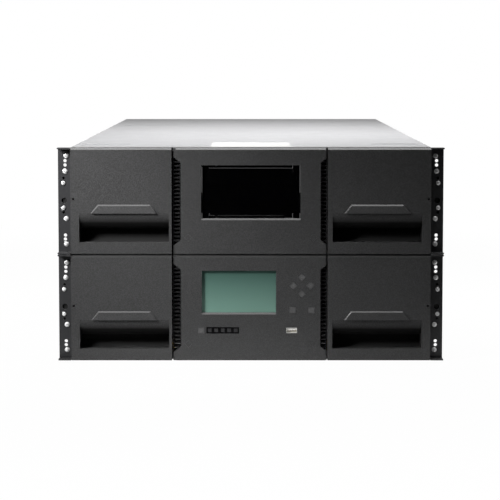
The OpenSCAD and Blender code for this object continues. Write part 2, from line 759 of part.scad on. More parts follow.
module up_button() color("gray") button(pad_x, pad_z + pad_r, arrow_a, 45);
module down_button() color("gray") button(pad_x, pad_z - pad_r, arrow_a, 45);
module left_button() color("gray") button(pad_x - pad_r, pad_z, arrow_a, 45);
module right_button() color("gray") button(pad_x + pad_r, pad_z, arrow_a, 45);
module back_button() color("gray") button(pad_x - key_dx, key_z, key_a, 0);
module enter_button() color("gray") button(pad_x + key_dx, key_z, key_a, 0);
module power_button() color("gray") button(-power_x, row_z, key_a, 0);

// ---------------------------------------------------------------- robot

// Frame of two beams whose bearing blocks hold the climbing shafts
module lift_platform() color("silver") for (y = [front_beam_y, rear_beam_y]) difference() {
    union() {
        block([-pinion_x, y, beam_z], [pinion_x, y + beam_t, beam_z + frame_t]);
        for (s = [-1, 1])
            block([s * pinion_x - 6, y, beam_z], [s * pinion_x + 6, y + beam_t, pinion_z + shaft_r + 1.5]);
    }
    for (s = [-1, 1]) {
        pin_y(s * pinion_x, pinion_z, y - 1, y + beam_t + 1, shaft_r + 0.06);
        pin_y(s * rod_x, beam_z + frame_t / 2, y - 1, y + beam_t + 1, rod_r + 0.02);
    }
}

module guide_rods() color("lightgray") for (s = [-1, 1])
    pin_y(s * rod_x, beam_z + frame_t / 2, front_beam_y, rear_beam_y + beam_t, rod_r);

// Involute pinion outline with a gap facing +X
function inv_angle(r) = let (a = acos(min(1, pitch_r * cos(pressure_angle) / r))) tan(a) * 180 / PI - a;
pinion_base = pitch_r * cos(pressure_angle);
flank_r = [pitch_r - root_h, for (i = [0 : 4]) pinion_base + (pitch_r + tip_h - pinion_base) * i / 4];
tooth_half = 90 / pinion_teeth - backlash / 4 / pitch_r * 180 / PI;
function flank_a(r) = tooth_half + inv_angle(pitch_r) - inv_angle(max(r, pinion_base));

module pinion_outline() polygon([
    for (i = [0 : pinion_teeth - 1], a = (i + 0.5) * 360 / pinion_teeth) each [
        for (r = flank_r) r * [cos(a - flank_a(r)), sin(a - flank_a(r))],
        for (j = [len(flank_r) - 1 : -1 : 0], r = flank_r[j]) r * [cos(a + flank_a(r)), sin(a + flank_a(r))],
    ],
]);

module lift_shaft(s) on_side(s) {
    pin_y(pinion_x, pinion_z, front_rack_y, rear_rack_y + rack_face, shaft_r);
    for (y = [front_rack_y, rear_rack_y])
        translate([pinion_x, y + rack_face - 0.5, pinion_z]) rotate([90, 0, 0])
            linear_extrude(rack_face - 0.5) pinion_outline();
}

module left_lift_shaft() color("goldenrod") lift_shaft(-1);
module right_lift_shaft() color("goldenrod") lift_shaft(1);

// Slider on the two rods; the picker's turntable sits on its boss
module robot_carriage() color("darkgray") difference() {
    block([-rod_x - 8, carriage_y - carriage_half, beam_z], [rod_x + 8, carriage_y + carriage_half, beam_z + frame_t]);
    for (s = [-1, 1])
        pin_y(s * rod_x, beam_z + frame_t / 2, carriage_y - carriage_half - 1, carriage_y + carriage_half + 1, rod_r + 0.08);
    translate([0, carriage_y, beam_z - 1]) cylinder(h = frame_t + 2, r = 20.06);
}

// Tray that turns to face the left or right magazines or the drives behind
module picker() color("gray") translate([0, carriage_y, 0]) {
    translate([0, 0, beam_z + 0.5]) cylinder(h = picker_floor - beam_z - 0.4, r = 20);
    translate([0, 0, beam_z + frame_t + 0.3]) cylinder(h = picker_floor - beam_z - frame_t - 0.4, r = 27);
    difference() {
        block([-picker_side - 1.5, -tray_half, picker_floor - 0.4],
              [picker_side + 1.5, tray_half, picker_floor + 1]);
        for (x = [-30, 30]) block([x - 12, -40, picker_floor - 1], [x + 12, -20, picker_floor + 2]);
    }
    for (s = [-1, 1]) on_side(s)
        block([picker_side, -tray_half, picker_floor], [picker_side + 1.5, tray_half, tier_base + cart_h + 1]);
}

// Sliding hooks that draw a cartridge onto the tray
module gripper() color("black") translate([0, carriage_y, 0]) {
    z = picker_floor + 1.3;
    difference() {
        block([-picker_side + 0.3, 1 - tray_half, z], [picker_side - 0.3, 13 - tray_half, z + 16]);
        block([-20, 6 - tray_half, z + 5], [20, 14 - tray_half, z + 17]);
    }
    for (s = [-1, 1]) on_side(s)
        block([cart_w / 2 + 0.3, 12 - tray_half, z + 5], [cart_w / 2 + 1.3, tray_half - 4, z + 12]);
}

// ---------------------------------------------------------------- rear units

// Hot-swap power supply: inlet, fan and handle on its rear face
module power_supply(k, i) in_module(k) translate([-psu_x0 - psu_w, 0, psu_z(i)]) {
    y1 = rear_y + 2;
    difference() {
        union() {
            block([0, rear_y - psu_d, 0], [psu_w, rear_y, psu_h]);
            block([0, rear_y - 1, 0], [psu_w, y1, psu_h]);
        }
        // Inlet for an appliance lead
        block([8, y1 - 16, 18], [35.5, y1 + 1, 38.5]);
        // Fan well with a hub and four spokes
        difference() {
            pin_y(psu_w - 32, psu_h / 2, y1 - 18, y1 + 1, 24);
            pin_y(psu_w - 32, psu_h / 2, y1 - 19, y1 - 1, 9);
            for (a = [0, 90]) translate([psu_w - 32, y1 - 5, psu_h / 2]) rotate([0, a, 0])
                cube([60, 4, 2], center = true);
        }
    }
    for (x = [14.5, 21.75, 29]) block([x - 1, y1 - 16.5, 25], [x + 1, y1 - 6, 31]);
    // Handle across the middle of the rear face
    for (z = [8, psu_h - 12]) block([40, y1 - 0.1, z], [44, rear_y + rear_proud, z + 4]);
    block([40, rear_y + rear_proud - 4, 8], [44, rear_y + rear_proud, psu_h - 8]);
}

module base_power_supply_1() color("gray") power_supply(0, 0);
module base_power_supply_2() color("gray") power_supply(0, 1);
module upper_power_supply() color("gray") power_supply(1, 0);

// Tape drive in its sled: mouth with a flap towards the aisle, port and pull at the back
module drive(k, i) in_module(k) translate([-sled_w / 2, 0, bay_z(i)]) {
    y1 = rear_y + 2;
    difference() {
        block([0, rear_y - sled_d, 0], [sled_w, y1, sled_h]);
        block([20, rear_y - sled_d - 1, 9], [sled_w - 20, rear_y - sled_d + 3, 34]);
        block([18, y1 - 10, 14], [44, y1 + 1, 22]);
        block([60, y1 - 8, 12], [74, y1 + 1, 24]);
    }
    for (z = [6, sled_h - 10]) block([sled_w - 30, y1 - 0.1, z], [sled_w - 26, rear_y + rear_proud, z + 4]);
    block([sled_w - 30, rear_y + rear_proud - 4, 6], [sled_w - 26, rear_y + rear_proud, sled_h - 6]);
}

module base_drive() color("slategray") drive(0, 0);
module upper_drive() color("slategray") drive(1, 0);

// Sheet metal cage with a shelf under each drive bay
module drive_cage(k) in_module(k) {
    y0 = rear_y - sled_d;
    y1 = rear_y - sheet_t - 0.2;
    z_top = bay_z(bays - 1) + sled_h + 0.4;
    for (s = [-1, 1]) on_side(s)
        block([bay_x, y0, sheet_t + 0.1], [bay_x + sheet_t, y1, z_top]);
    for (i = [0 : bays - 1])
        block([-bay_x, y0, bay_z(i) - 0.8], [bay_x, y1, bay_z(i) - 0.2]);
    // Shelf and leg under the upper power supply
    leg_x = -psu_x0 - psu_w - 2;
    block([leg_x, rear_y - psu_d, psu_z(1) - 1.5], [-bay_x, y1, psu_z(1) - 0.3]);
    block([leg_x - sheet_t, rear_y - psu_d, sheet_t + 0.1], [leg_x + 0.1, y1, psu_z(1) - 0.3]);
}

module drive_cages() color("silver") {
    drive_cage(0);
    drive_cage(1);
}

// Controller with its ports, and the smaller link card of the upper module
module card(k, ports) in_module(k) difference() {
    y1 = rear_y + 2;
    z_top = psu_z(1) + psu_h;
    union() {
        block([psu_x0, rear_y - 180, psu_z(0)], [psu_x0 + psu_w, rear_y, z_top]);
        block([psu_x0, rear_y - 1, psu_z(0)], [psu_x0 + psu_w, y1, z_top]);
    }
    for (i = [0 : ports - 1])
        block([psu_x0 + 14 + i * 24, y1 - 13, 80], [psu_x0 + 28 + i * 24, y1 + 1, 92]);
}

module controller_cards() color("gray") {
    card(0, 3);
    card(1, 2);
}

// Plates over the bays that hold no unit
module rear_blanks() color("silver") {
    for (k = [0, 1], i = [1 : bays - 1]) in_module(k)
        block([-bay_x + 0.4, rear_y - 1, bay_z(i)], [bay_x - 0.4, rear_y + 1, bay_z(i) + sled_h]);
    in_module(1)
        block([-psu_x0 - psu_w, rear_y - 1, psu_z(1)], [-psu_x0, rear_y + 1, psu_z(1) + psu_h]);
}

side_walls();
bottom_cover();
upper_floor_pan();
top_cover();
base_rear_panel();
upper_rear_panel();
base_rack_ears();
upper_rack_ears();
ear_screws();
front_bulkheads();
base_centre_bezel();
upper_centre_bezel();
centre_louvres();
window_pane();
window_retainers();
lcd_module();
status_lens();
usb_port();
control_board();
bezel_plugs();
lift_racks();
bay_rails();
drive_cages();
controller_cards();
rear_blanks();
base_left_bezel();
base_left_frame();
base_left_shelves();
base_left_cartridges();
base_right_bezel();
base_right_frame();
base_right_shelves();
base_right_cartridges();
upper_left_bezel();
upper_left_frame();
upper_left_shelves();
upper_left_cartridges();
upper_right_bezel();
upper_right_frame();
upper_right_shelves();
upper_right_cartridges();
up_button();
down_button();
left_button();
right_button();
back_button();
enter_button();
power_button();
lift_platform();
guide_rods();
left_lift_shaft();
right_lift_shaft();
robot_carriage();
picker();
gripper();
base_power_supply_1();
base_power_supply_2();
upper_power_supply();
base_drive();
upper_drive();
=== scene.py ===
"""Looks of a rack-mounted tape library: two modules, four magazines, screen, robot and rear units."""

import math

import bmesh
import bpy
from bpy.props import FloatProperty, FloatVectorProperty, PointerProperty
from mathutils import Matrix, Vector


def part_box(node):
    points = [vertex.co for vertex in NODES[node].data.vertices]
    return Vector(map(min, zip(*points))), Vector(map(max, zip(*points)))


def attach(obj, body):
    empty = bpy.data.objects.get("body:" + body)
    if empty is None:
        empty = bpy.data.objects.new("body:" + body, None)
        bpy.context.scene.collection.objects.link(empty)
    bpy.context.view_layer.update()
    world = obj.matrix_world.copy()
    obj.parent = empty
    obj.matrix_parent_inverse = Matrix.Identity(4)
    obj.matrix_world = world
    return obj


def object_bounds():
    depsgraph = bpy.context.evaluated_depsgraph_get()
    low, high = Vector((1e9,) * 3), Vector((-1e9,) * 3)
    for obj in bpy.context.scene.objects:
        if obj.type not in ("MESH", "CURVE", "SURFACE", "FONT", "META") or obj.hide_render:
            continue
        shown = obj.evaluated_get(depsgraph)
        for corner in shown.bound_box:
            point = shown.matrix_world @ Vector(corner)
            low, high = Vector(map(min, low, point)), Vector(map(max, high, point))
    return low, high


bl_info = {
    "name": "Tape Library",
    "version": (1, 0, 0),
    "blender": (4, 5, 0),
    "location": "View3D > Sidebar > Tape Library",
    "description": "Dresses the frame of a rack-mounted tape library with its finishes and small parts",
    "category": "Object",
}

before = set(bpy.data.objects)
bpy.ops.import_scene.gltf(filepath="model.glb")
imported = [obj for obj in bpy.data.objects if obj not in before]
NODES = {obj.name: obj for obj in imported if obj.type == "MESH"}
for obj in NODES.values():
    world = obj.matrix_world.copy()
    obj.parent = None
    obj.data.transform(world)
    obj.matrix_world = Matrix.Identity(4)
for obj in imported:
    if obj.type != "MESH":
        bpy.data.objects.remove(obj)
CAD_LOW, CAD_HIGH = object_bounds()

MM = 0.001
MODULE_H = (CAD_HIGH.z - CAD_LOW.z) / 2
BEZEL_FACE_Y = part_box("base_centre_bezel")[0].y
EAR_FACE_Y = BEZEL_FACE_Y + 10 * MM
REAR_FACE_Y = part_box("base_rear_panel")[1].y
CHASSIS_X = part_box("bottom_cover")[1].x
MODULES = ("base", "upper")
SIDES = ("left", "right")

# Finger pocket of a magazine bezel: its top above the module's underside, its ends in from the bezel's edges
POCKET_HIGH = 51.6 * MM
POCKET_MARGIN_OUT = 10.6 * MM
POCKET_MARGIN_IN = 3.3 * MM
# Raised brow above the pocket
BROW_INSET = 15.9 * MM
BROW_LEAN = 8.0 * MM
BROW_HEIGHT = 9.2 * MM
# Seam between the bezels of the two modules: its middle below MODULE_H, and where its shade ends
SEAM_DROP = 1.2 * MM
SEAM_DARK = 1.3 * MM
SEAM_END = 1.8 * MM
# Plain label on the top cover: half its width, and its start and end behind the ears
COVER_LABEL_HALF = 50 * MM
COVER_LABEL_START = 6 * MM
COVER_LABEL_END = 102 * MM
# A cartridge as it lies in its magazine, and the columns' spacing as a share of its length along Y
CARTRIDGE = Vector((102.0, 105.4, 21.5)) * MM
COLUMN_SPACING = 1.044
# Middle of a screw head above its sheet, as a share of its radius: the underside lies just inside the sheet
SCREW_SEAT = 0.27
# Thickness of printed ink, half of it inside the button
INK = 0.08 * MM
# Fan blades: thickness in metres and pitch in radians
BLADE_THICKNESS = 0.0009
BLADE_PITCH = 0.75
# The floor lies this far below the feet, so that no two faces share a level
FLOOR_DROP = 0.0004


# ---------------------------------------------------------------- settings


def colour(label, note, rgb):
    return FloatVectorProperty(
        name=label, description=note, default=rgb, size=3, min=0.0, max=1.0, subtype="COLOR"
    )


def length(label, note, metres):
    return FloatProperty(
        name=label, description=note, default=metres, min=0.0, subtype="DISTANCE", unit="LENGTH"
    )


class TAPELIB_PG_colours(bpy.types.PropertyGroup):
    """Colours of the finishes"""

    bezel: colour("Bezel", "Charcoal moulded plastic of the bezels", (0.034, 0.034, 0.034))
    zinc: colour("Zinc", "Zinc-plated sheet of the chassis", (0.62, 0.62, 0.63))
    cover: colour("Cover", "Plated steel of the top cover", (0.56, 0.56, 0.57))
    ear: colour("Ear", "Black-coated steel of the rack ears", (0.030, 0.030, 0.032))
    screw: colour("Screw", "Bright screws", (0.92, 0.92, 0.92))
    screen_low: colour("Screen low", "Screen at its bottom edge", (0.17, 0.30, 0.25))
    screen_high: colour("Screen high", "Screen at its top edge", (0.045, 0.095, 0.080))
    glass: colour("Glass", "Smoked window", (0.0010, 0.0010, 0.0012))
    mark: colour("Mark", "Printed marks on the controls", (0.13, 0.13, 0.13))
    gold: colour("Gold", "Plated contacts", (0.75, 0.52, 0.20))
    label: colour("Label", "Plain paper labels", (0.85, 0.85, 0.83))
    brass: colour("Brass", "Pinions", (0.55, 0.38, 0.14))


class TAPELIB_PG_sizes(bpy.types.PropertyGroup):
    """Sizes of the small parts"""

    screw_head: length("Screw head", "Radius of a pan head screw", 2.6 * MM)
    nose_depth: length("Nose depth", "How far the rolled lip reaches into a finger pocket", 14.0 * MM)
    nose_height: length("Nose height", "How far that lip reaches down", 20.0 * MM)
    nose_wall: length("Nose wall", "Thickness of the rolled lip", 2.2 * MM)
    mark: length("Mark", "Size of the arrow on a button", 2.6 * MM)
    fan_blade: length("Fan blade", "Chord of a fan blade", 8.0 * MM)
    grain: length("Grain", "Size of the grain moulded into the bezels", 0.9 * MM)


# ---------------------------------------------------------------- node helpers


class Tree:
    """Short way to add and link nodes in one node tree."""

    def __init__(self, tree):
        self.tree = tree

    def add(self, kind, inputs=None, **settings):
        node = self.tree.nodes.new(kind)
        for key, value in settings.items():
            setattr(node, key, value)
        for key, value in (inputs or {}).items():
            self.feed(node.inputs[key], value)
        return node

    def feed(self, socket, value):
        if isinstance(value, bpy.types.NodeSocket):
            self.tree.links.new(value, socket)
        elif isinstance(value, bpy.types.Node):
            self.tree.links.new(value.outputs[0], socket)
        else:
            socket.default_value = value

    def math(self, operation, *values):
        return self.add("ShaderNodeMath", dict(enumerate(values)), operation=operation).outputs[0]

    def ramp(self, value, low, high, to_low=0.0, to_high=1.0, smooth=False):
        node = self.add(
            "ShaderNodeMapRange",
            {0: value, 1: low, 2: high, 3: to_low, 4: to_high},
            interpolation_type="SMOOTHSTEP" if smooth else "LINEAR",
        )
        return node.outputs[0]

    def mix(self, factor, a, b, blend="MIX"):
        node = self.add("ShaderNodeMix", data_type="RGBA", blend_type=blend)
        for socket, value in zip((node.inputs[0], node.inputs[6], node.inputs[7]), (factor, a, b)):
            self.feed(socket, rgba(value) if isinstance(value, (tuple, Vector)) else value)
        return node.outputs[2]

    def noise(self, vector, scale, detail=2.0, roughness=0.5):
        return self.add(
            "ShaderNodeTexNoise",
            {"Vector": vector, "Scale": scale, "Detail": detail, "Roughness": roughness},
        ).outputs["Fac"]


def rgba(c):
    return (c[0], c[1], c[2], 1.0)


def shader_group(name, inputs, outputs, build):
    """A shader node group with named float inputs and outputs; build gets the tree, inputs and outputs."""
    group = bpy.data.node_groups.get(name)
    if group:
        return group
    group = bpy.data.node_groups.new(name, "ShaderNodeTree")
    for label, value in inputs:
        kind = "NodeSocketVector" if value is None else "NodeSocketFloat"
        socket = group.interface.new_socket(label, in_out="INPUT", socket_type=kind)
        if value is not None:
            socket.default_value = value
    for label in outputs:
        group.interface.new_socket(label, in_out="OUTPUT", socket_type="NodeSocketFloat")
    tree = Tree(group)
    given = group.nodes.new("NodeGroupInput").outputs
    result = group.nodes.new("NodeGroupOutput").inputs
    build(tree, given, result)
    return group


def grain_group():
    """Fine moulded texture: a height for bump and a slow tone over the surface."""

    def build(t, given, result):
        spot = t.add("ShaderNodeTexCoord").outputs["Object"]
        fine = t.noise(spot, given["Scale"], 3.0, 0.6)
        slow = t.noise(spot, 9.0, 3.0)
        t.feed(result["Height"], fine)
        t.feed(result["Tone"], t.ramp(slow, 0.3, 0.7, 0.0, 1.0, True))
        t.feed(result["Speck"], t.ramp(fine, 0.42, 0.62))

    return shader_group("Moulded grain", [("Scale", 900.0)], ["Height", "Tone", "Speck"], build)


def wear_group():
    """Mask of outer edges, where a finish is rubbed: the rounded normal leaves the flat one there."""

    def build(t, given, result):
        flat = t.add("ShaderNodeNewGeometry").outputs["Normal"]
        rounded = t.add("ShaderNodeBevel", {"Radius": given["Radius"]}, samples=4)
        dot = t.add("ShaderNodeVectorMath", {0: flat, 1: rounded.outputs[0]}, operation="DOT_PRODUCT")
        spot = t.add("ShaderNodeTexCoord").outputs["Object"]
        patch = t.ramp(t.noise(spot, 60.0, 3.0), 0.35, 0.6, 0.25, 1.0)
        t.feed(result["Edge"], t.math("MULTIPLY", t.ramp(dot.outputs["Value"], 0.99, 0.8), patch))

    return shader_group("Edge wear", [("Radius", 0.0006)], ["Edge"], build)


def dust_group():
    """Thin dust on surfaces that face up."""

    def build(t, given, result):
        coords = t.add("ShaderNodeTexCoord")
        up = t.add("ShaderNodeSeparateXYZ", {0: coords.outputs["Normal"]}).outputs["Z"]
        cloud = t.noise(coords.outputs["Object"], 14.0, 5.0, 0.65)
        lies = t.math("MULTIPLY", t.ramp(up, 0.5, 0.95), t.ramp(cloud, 0.35, 0.75))
        t.feed(result["Dust"], t.math("MULTIPLY", lies, given["Amount"]))

    return shader_group("Settled dust", [("Amount", 0.3)], ["Dust"], build)


def sheet_group():
    """Rolled and plated sheet: streaks along the length, soft plating cells and faint handling marks."""

    def build(t, given, result):
        spot = t.add("ShaderNodeTexCoord").outputs["Object"]
        drawn = t.add("ShaderNodeMapping", {"Vector": spot, "Scale": (900.0, 14.0, 900.0)}).outputs[0]
        streak = t.noise(drawn, 1.0, 3.0, 0.6)
        cells = t.add(
            "ShaderNodeTexVoronoi",
            {"Vector": spot, "Scale": given["Cells"], "Randomness": 1.0},
            feature="F1",
        ).outputs["Color"]
        cell = t.add("ShaderNodeSeparateColor", {0: cells}).outputs[0]
        cloud = t.noise(spot, 6.0, 4.0, 0.6)
        tone = t.math("ADD", t.math("MULTIPLY", streak, 0.45), t.math("MULTIPLY", cell, 0.25))
        t.feed(result["Tone"], t.math("ADD", tone, t.math("MULTIPLY", cloud, 0.30)))
        t.feed(result["Marks"], t.ramp(cloud, 0.35, 0.7))
        t.feed(result["Height"], streak)

    return shader_group("Plated sheet", [("Cells", 90.0)], ["Tone", "Marks", "Height"], build)


def place(tree, group, **values):
    """Adds a group node with its own values; spaces in input names are written as underscores."""
    node = tree.add("ShaderNodeGroup", node_tree=group)
    for key, value in values.items():
        tree.feed(node.inputs[key.replace("_", " ")], value)
    return node.outputs


# ---------------------------------------------------------------- materials


def bare_material(name):
    """A material with an empty node tree."""
    material = bpy.data.materials.new(name)
    material.use_nodes = True
    material.node_tree.nodes.clear()
    return material, Tree(material.node_tree)


def fresh_material(name):
    """A material whose tree holds a Principled BSDF and its output."""
    material, tree = bare_material(name)
    shader = tree.add("ShaderNodeBsdfPrincipled")
    tree.add("ShaderNodeOutputMaterial", {"Surface": shader.outputs[0]})
    return material, tree, shader


def plastic(name, base, rough=0.5, scale=900.0, depth=0.03, wear=0.5, dust=0.15, spec=0.5, painted_shade=None):
    """Moulded plastic with grain, rubbed edges and a little dust; the last argument gives where painted shade in
    the pockets starts and where it is full, and also turns on painted shade in the seam.
    """
    material, t, shader = fresh_material(name)
    grain = place(t, grain_group(), Scale=scale)
    edge = place(t, wear_group(), Radius=0.0006)["Edge"]
    dust_mask = place(t, dust_group(), Amount=dust)["Dust"]
    base = Vector(base[:])
    tone = t.mix(grain["Tone"], tuple(base * 0.93), tuple(base * 1.07))
    tone = t.mix(grain["Speck"], tone, t.mix(0.14, tone, (0.25, 0.25, 0.26)))
    tone = t.mix(t.math("MULTIPLY", edge, wear), tone, tuple(base * 1.2 + Vector((0.09, 0.09, 0.095))))
    tone = t.mix(dust_mask, tone, (0.30, 0.29, 0.28))
    shine = t.ramp(grain["Speck"], 0.0, 1.0, rough - 0.06, rough + 0.06)
    if painted_shade:
        # Painted shade: far into the finger pockets and along the seam between the modules the colour is darkened
        # towards black, and the surface is made rougher
        spot = t.add("ShaderNodeSeparateXYZ", {0: t.add("ShaderNodeTexCoord").outputs["Object"]}).outputs
        inside = t.ramp(spot["Y"], BEZEL_FACE_Y + painted_shade[0], BEZEL_FACE_Y + painted_shade[1])
        seam = t.math("ABSOLUTE", t.math("SUBTRACT", spot["Z"], MODULE_H - SEAM_DROP))
        inside = t.math("MAXIMUM", inside, t.ramp(seam, SEAM_DARK, SEAM_END, 0.8, 0.0))
        tone = t.mix(inside, tone, tuple(base * 0.08))
        shine = t.math("MAXIMUM", shine, t.math("MULTIPLY", inside, 0.9))
    t.feed(shader.inputs["Base Color"], tone)
    t.feed(shader.inputs["Roughness"], shine)
    bump = t.add("ShaderNodeBump", {"Strength": 0.35, "Distance": depth * MM, "Height": grain["Height"]})
    t.feed(shader.inputs["Normal"], bump.outputs[0])
    shader.inputs["Specular IOR Level"].default_value = spec
    return material


def plated(name, base, rough=0.35, metallic=1.0, cells=90.0, dust=0.1, contrast=0.08):
    """Zinc-plated or plain steel sheet."""
    material, t, shader = fresh_material(name)
    sheet = place(t, sheet_group(), Cells=cells)
    dust_mask = place(t, dust_group(), Amount=dust)["Dust"]
    base = Vector(base[:])
    tone = t.mix(t.ramp(sheet["Tone"], 0.3, 0.7), tuple(base * (1 - contrast)), tuple(base * (1 + contrast)))
    tone = t.mix(dust_mask, tone, (0.45, 0.44, 0.42))
    t.feed(shader.inputs["Base Color"], tone)
    t.feed(shader.inputs["Roughness"], t.ramp(sheet["Marks"], 0.0, 1.0, rough - 0.05, rough + 0.09))
    bump = t.add("ShaderNodeBump", {"Strength": 0.15, "Distance": 0.01 * MM, "Height": sheet["Height"]})
    t.feed(shader.inputs["Normal"], bump.outputs[0])
    shader.inputs["Metallic"].default_value = metallic
    return material


def labelled_cover(name, base):
    """Cover sheet with one plain paper label stuck on it near the front."""
    material = plated(name, base, 0.36, cells=60.0, dust=0.05, contrast=0.05)
    t = Tree(material.node_tree)
    shader = next(n for n in material.node_tree.nodes if n.bl_idname == "ShaderNodeBsdfPrincipled")
    spot = t.add("ShaderNodeSeparateXYZ", {0: t.add("ShaderNodeTexCoord").outputs["Object"]}).outputs
    low_y, high_y, soft = EAR_FACE_Y + COVER_LABEL_START, EAR_FACE_Y + COVER_LABEL_END, 0.3 * MM
    across = t.ramp(t.math("ABSOLUTE", spot["X"]), COVER_LABEL_HALF, COVER_LABEL_HALF + soft, 1.0, 0.0)
    start = t.ramp(spot["Y"], low_y - soft, low_y)
    end = t.ramp(spot["Y"], high_y, high_y + soft, 1.0, 0.0)
    paper = t.math("MULTIPLY", across, t.math("MULTIPLY", start, end))
    fine = t.noise(t.add("ShaderNodeTexCoord").outputs["Object"], 500.0)
    t.feed(shader.inputs["Roughness"], t.ramp(fine, 0.3, 0.7, 0.41, 0.45))
    tone = shader.inputs["Base Color"].links[0].from_socket
    t.feed(shader.inputs["Base Color"], t.mix(paper, tone, (0.50, 0.50, 0.49)))
    t.feed(shader.inputs["Metallic"], t.ramp(paper, 0.0, 1.0, 1.0, 0.0))
    return material


def coated(name, base, rough=0.45, wear=0.5, dust=0.1):
    """Powder-coated steel, worn to bright metal on its edges."""
    material, t, shader = fresh_material(name)
    grain = place(t, grain_group(), Scale=1500.0)
    edge = t.math("MULTIPLY", place(t, wear_group(), Radius=0.0005)["Edge"], wear)
    dust_mask = place(t, dust_group(), Amount=dust)["Dust"]
    base = Vector(base[:])
    tone = t.mix(grain["Tone"], tuple(base * 0.9), tuple(base * 1.1))
    tone = t.mix(edge, tone, (0.35, 0.35, 0.36))
    tone = t.mix(dust_mask, tone, (0.30, 0.29, 0.28))
    t.feed(shader.inputs["Base Color"], tone)
    t.feed(shader.inputs["Metallic"], edge)
    t.feed(shader.inputs["Roughness"], t.ramp(grain["Speck"], 0.0, 1.0, rough - 0.08, rough + 0.08))
    bump = t.add("ShaderNodeBump", {"Strength": 0.25, "Distance": 0.02 * MM, "Height": grain["Height"]})
    t.feed(shader.inputs["Normal"], bump.outputs[0])
    return material


def smoked_glass(name, base, alpha=1.0):
    """Dark tinted pane: clear enough to hint at what is behind it."""
    material, t, shader = fresh_material(name)
    smear = place(t, sheet_group(), Cells=40.0)
    t.feed(shader.inputs["Roughness"], t.ramp(smear["Marks"], 0.0, 1.0, 0.03, 0.10))
    t.feed(shader.inputs["Base Color"], t.mix(smear["Marks"], tuple(base[:]), tuple(Vector(base[:]) * 1.3)))
    shader.inputs["Specular IOR Level"].default_value = 0.25
    shader.inputs["Alpha"].default_value = alpha
    return material


def screen(name, low, high, box):
    """Unlit backlit-type screen: dark towards its top edge, pale green towards its bottom."""
    material, t, shader = fresh_material(name)
    spot = t.add("ShaderNodeTexCoord").outputs["Object"]
    height = t.add("ShaderNodeSeparateXYZ", {0: spot}).outputs["Z"]
    share = t.ramp(height, box[0].z, box[1].z)
    tone = t.mix(share, tuple(low[:]), tuple(high[:]))
    cells = t.add("ShaderNodeTexChecker", {"Vector": spot, "Scale": 2200.0}).outputs["Fac"]
    tone = t.mix(t.math("MULTIPLY", cells, 0.06), tone, (0.0, 0.0, 0.0))
    t.feed(shader.inputs["Base Color"], tone)
    smear = place(t, sheet_group(), Cells=40.0)
    t.feed(shader.inputs["Roughness"], t.ramp(smear["Marks"], 0.0, 1.0, 0.10, 0.2))
    return material


def printed(name, base):
    """Flat printing ink with a slightly uneven tone."""
    material, t, shader = fresh_material(name)
    spot = t.add("ShaderNodeTexCoord").outputs["Object"]
    base = Vector(base[:])
    t.feed(shader.inputs["Base Color"], t.mix(t.noise(spot, 800.0), tuple(base * 0.85), tuple(base * 1.1)))
    t.feed(shader.inputs["Roughness"], t.ramp(t.noise(spot, 300.0), 0.3, 0.7, 0.45, 0.6))
    return material


def board(name):
    """Green circuit board with lighter tracks."""
    material, t, shader = fresh_material(name)
    spot = t.add("ShaderNodeTexCoord").outputs["Object"]
    tracks = t.add("ShaderNodeTexBrick", {"Vector": spot, "Scale": 120.0, "Mortar Size": 0.03})
    t.feed(shader.inputs["Base Color"], t.mix(tracks.outputs["Fac"], (0.01, 0.06, 0.025), (0.03, 0.13, 0.05)))
    t.feed(shader.inputs["Roughness"], t.ramp(t.noise(spot, 40.0), 0.3, 0.7, 0.3, 0.5))
    return material


def paint(node, material):
    """Gives a CAD node its material."""
    slots = NODES[node].material_slots
    if not slots:
        NODES[node].data.materials.append(material)
    for slot in NODES[node].material_slots:
        slot.material = material


# ---------------------------------------------------------------- mesh helpers


def add_piece(name, mesh, material, body, smooth=False):
    """Puts a finished mesh into the scene at the origin, riding on a body."""
    if not mesh.materials:
        mesh.materials.append(material)
    if smooth:
        mesh.polygons.foreach_set("use_smooth", [True] * len(mesh.polygons))
        mesh.set_sharp_from_angle(angle=math.radians(35))
    piece = bpy.data.objects.new(name, mesh)
    bpy.context.scene.collection.objects.link(piece)
    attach(piece, body)
    return piece


def finish_mesh(name, work, material, body, smooth=False):
    """Turns a bmesh into a finished piece with its faces outward."""
    mesh = bpy.data.meshes.new(name)
    bmesh.ops.recalc_face_normals(work, faces=work.faces)
    work.to_mesh(mesh)
    work.free()
    return add_piece(name, mesh, material, body, smooth)


def soft_box(work, low, high, bevel=0.0002):
    """Adds a box between two corners, with softened edges."""
    low, high = Vector(low), Vector(high)
    made = bmesh.ops.create_cube(work, size=1.0)["verts"]
    for vertex in made:
        vertex.co = Vector(v * s for v, s in zip(vertex.co, high - low)) + (low + high) / 2
    edges = {edge for vertex in made for edge in vertex.link_edges}
    bmesh.ops.bevel(work, geom=list(edges), offset=bevel, segments=1, affect="EDGES", clamp_overlap=True)


def prism(work, outline, start, end, axis):
    """Adds a solid whose outline is pushed from start to end along X (axis 0) or Y (axis 1)."""
    def at(level, point):
        return (level, *point) if axis == 0 else (point[0], level, point[1])

    near = [work.verts.new(at(start, point)) for point in outline]
    far = [work.verts.new(at(end, point)) for point in outline]
    work.faces.new(near)
    work.faces.new(far[::-1])
    for i in range(len(outline)):
        work.faces.new((near[i - 1], far[i - 1], far[i], near[i]))


# ---------------------------------------------------------------- geometry node trees


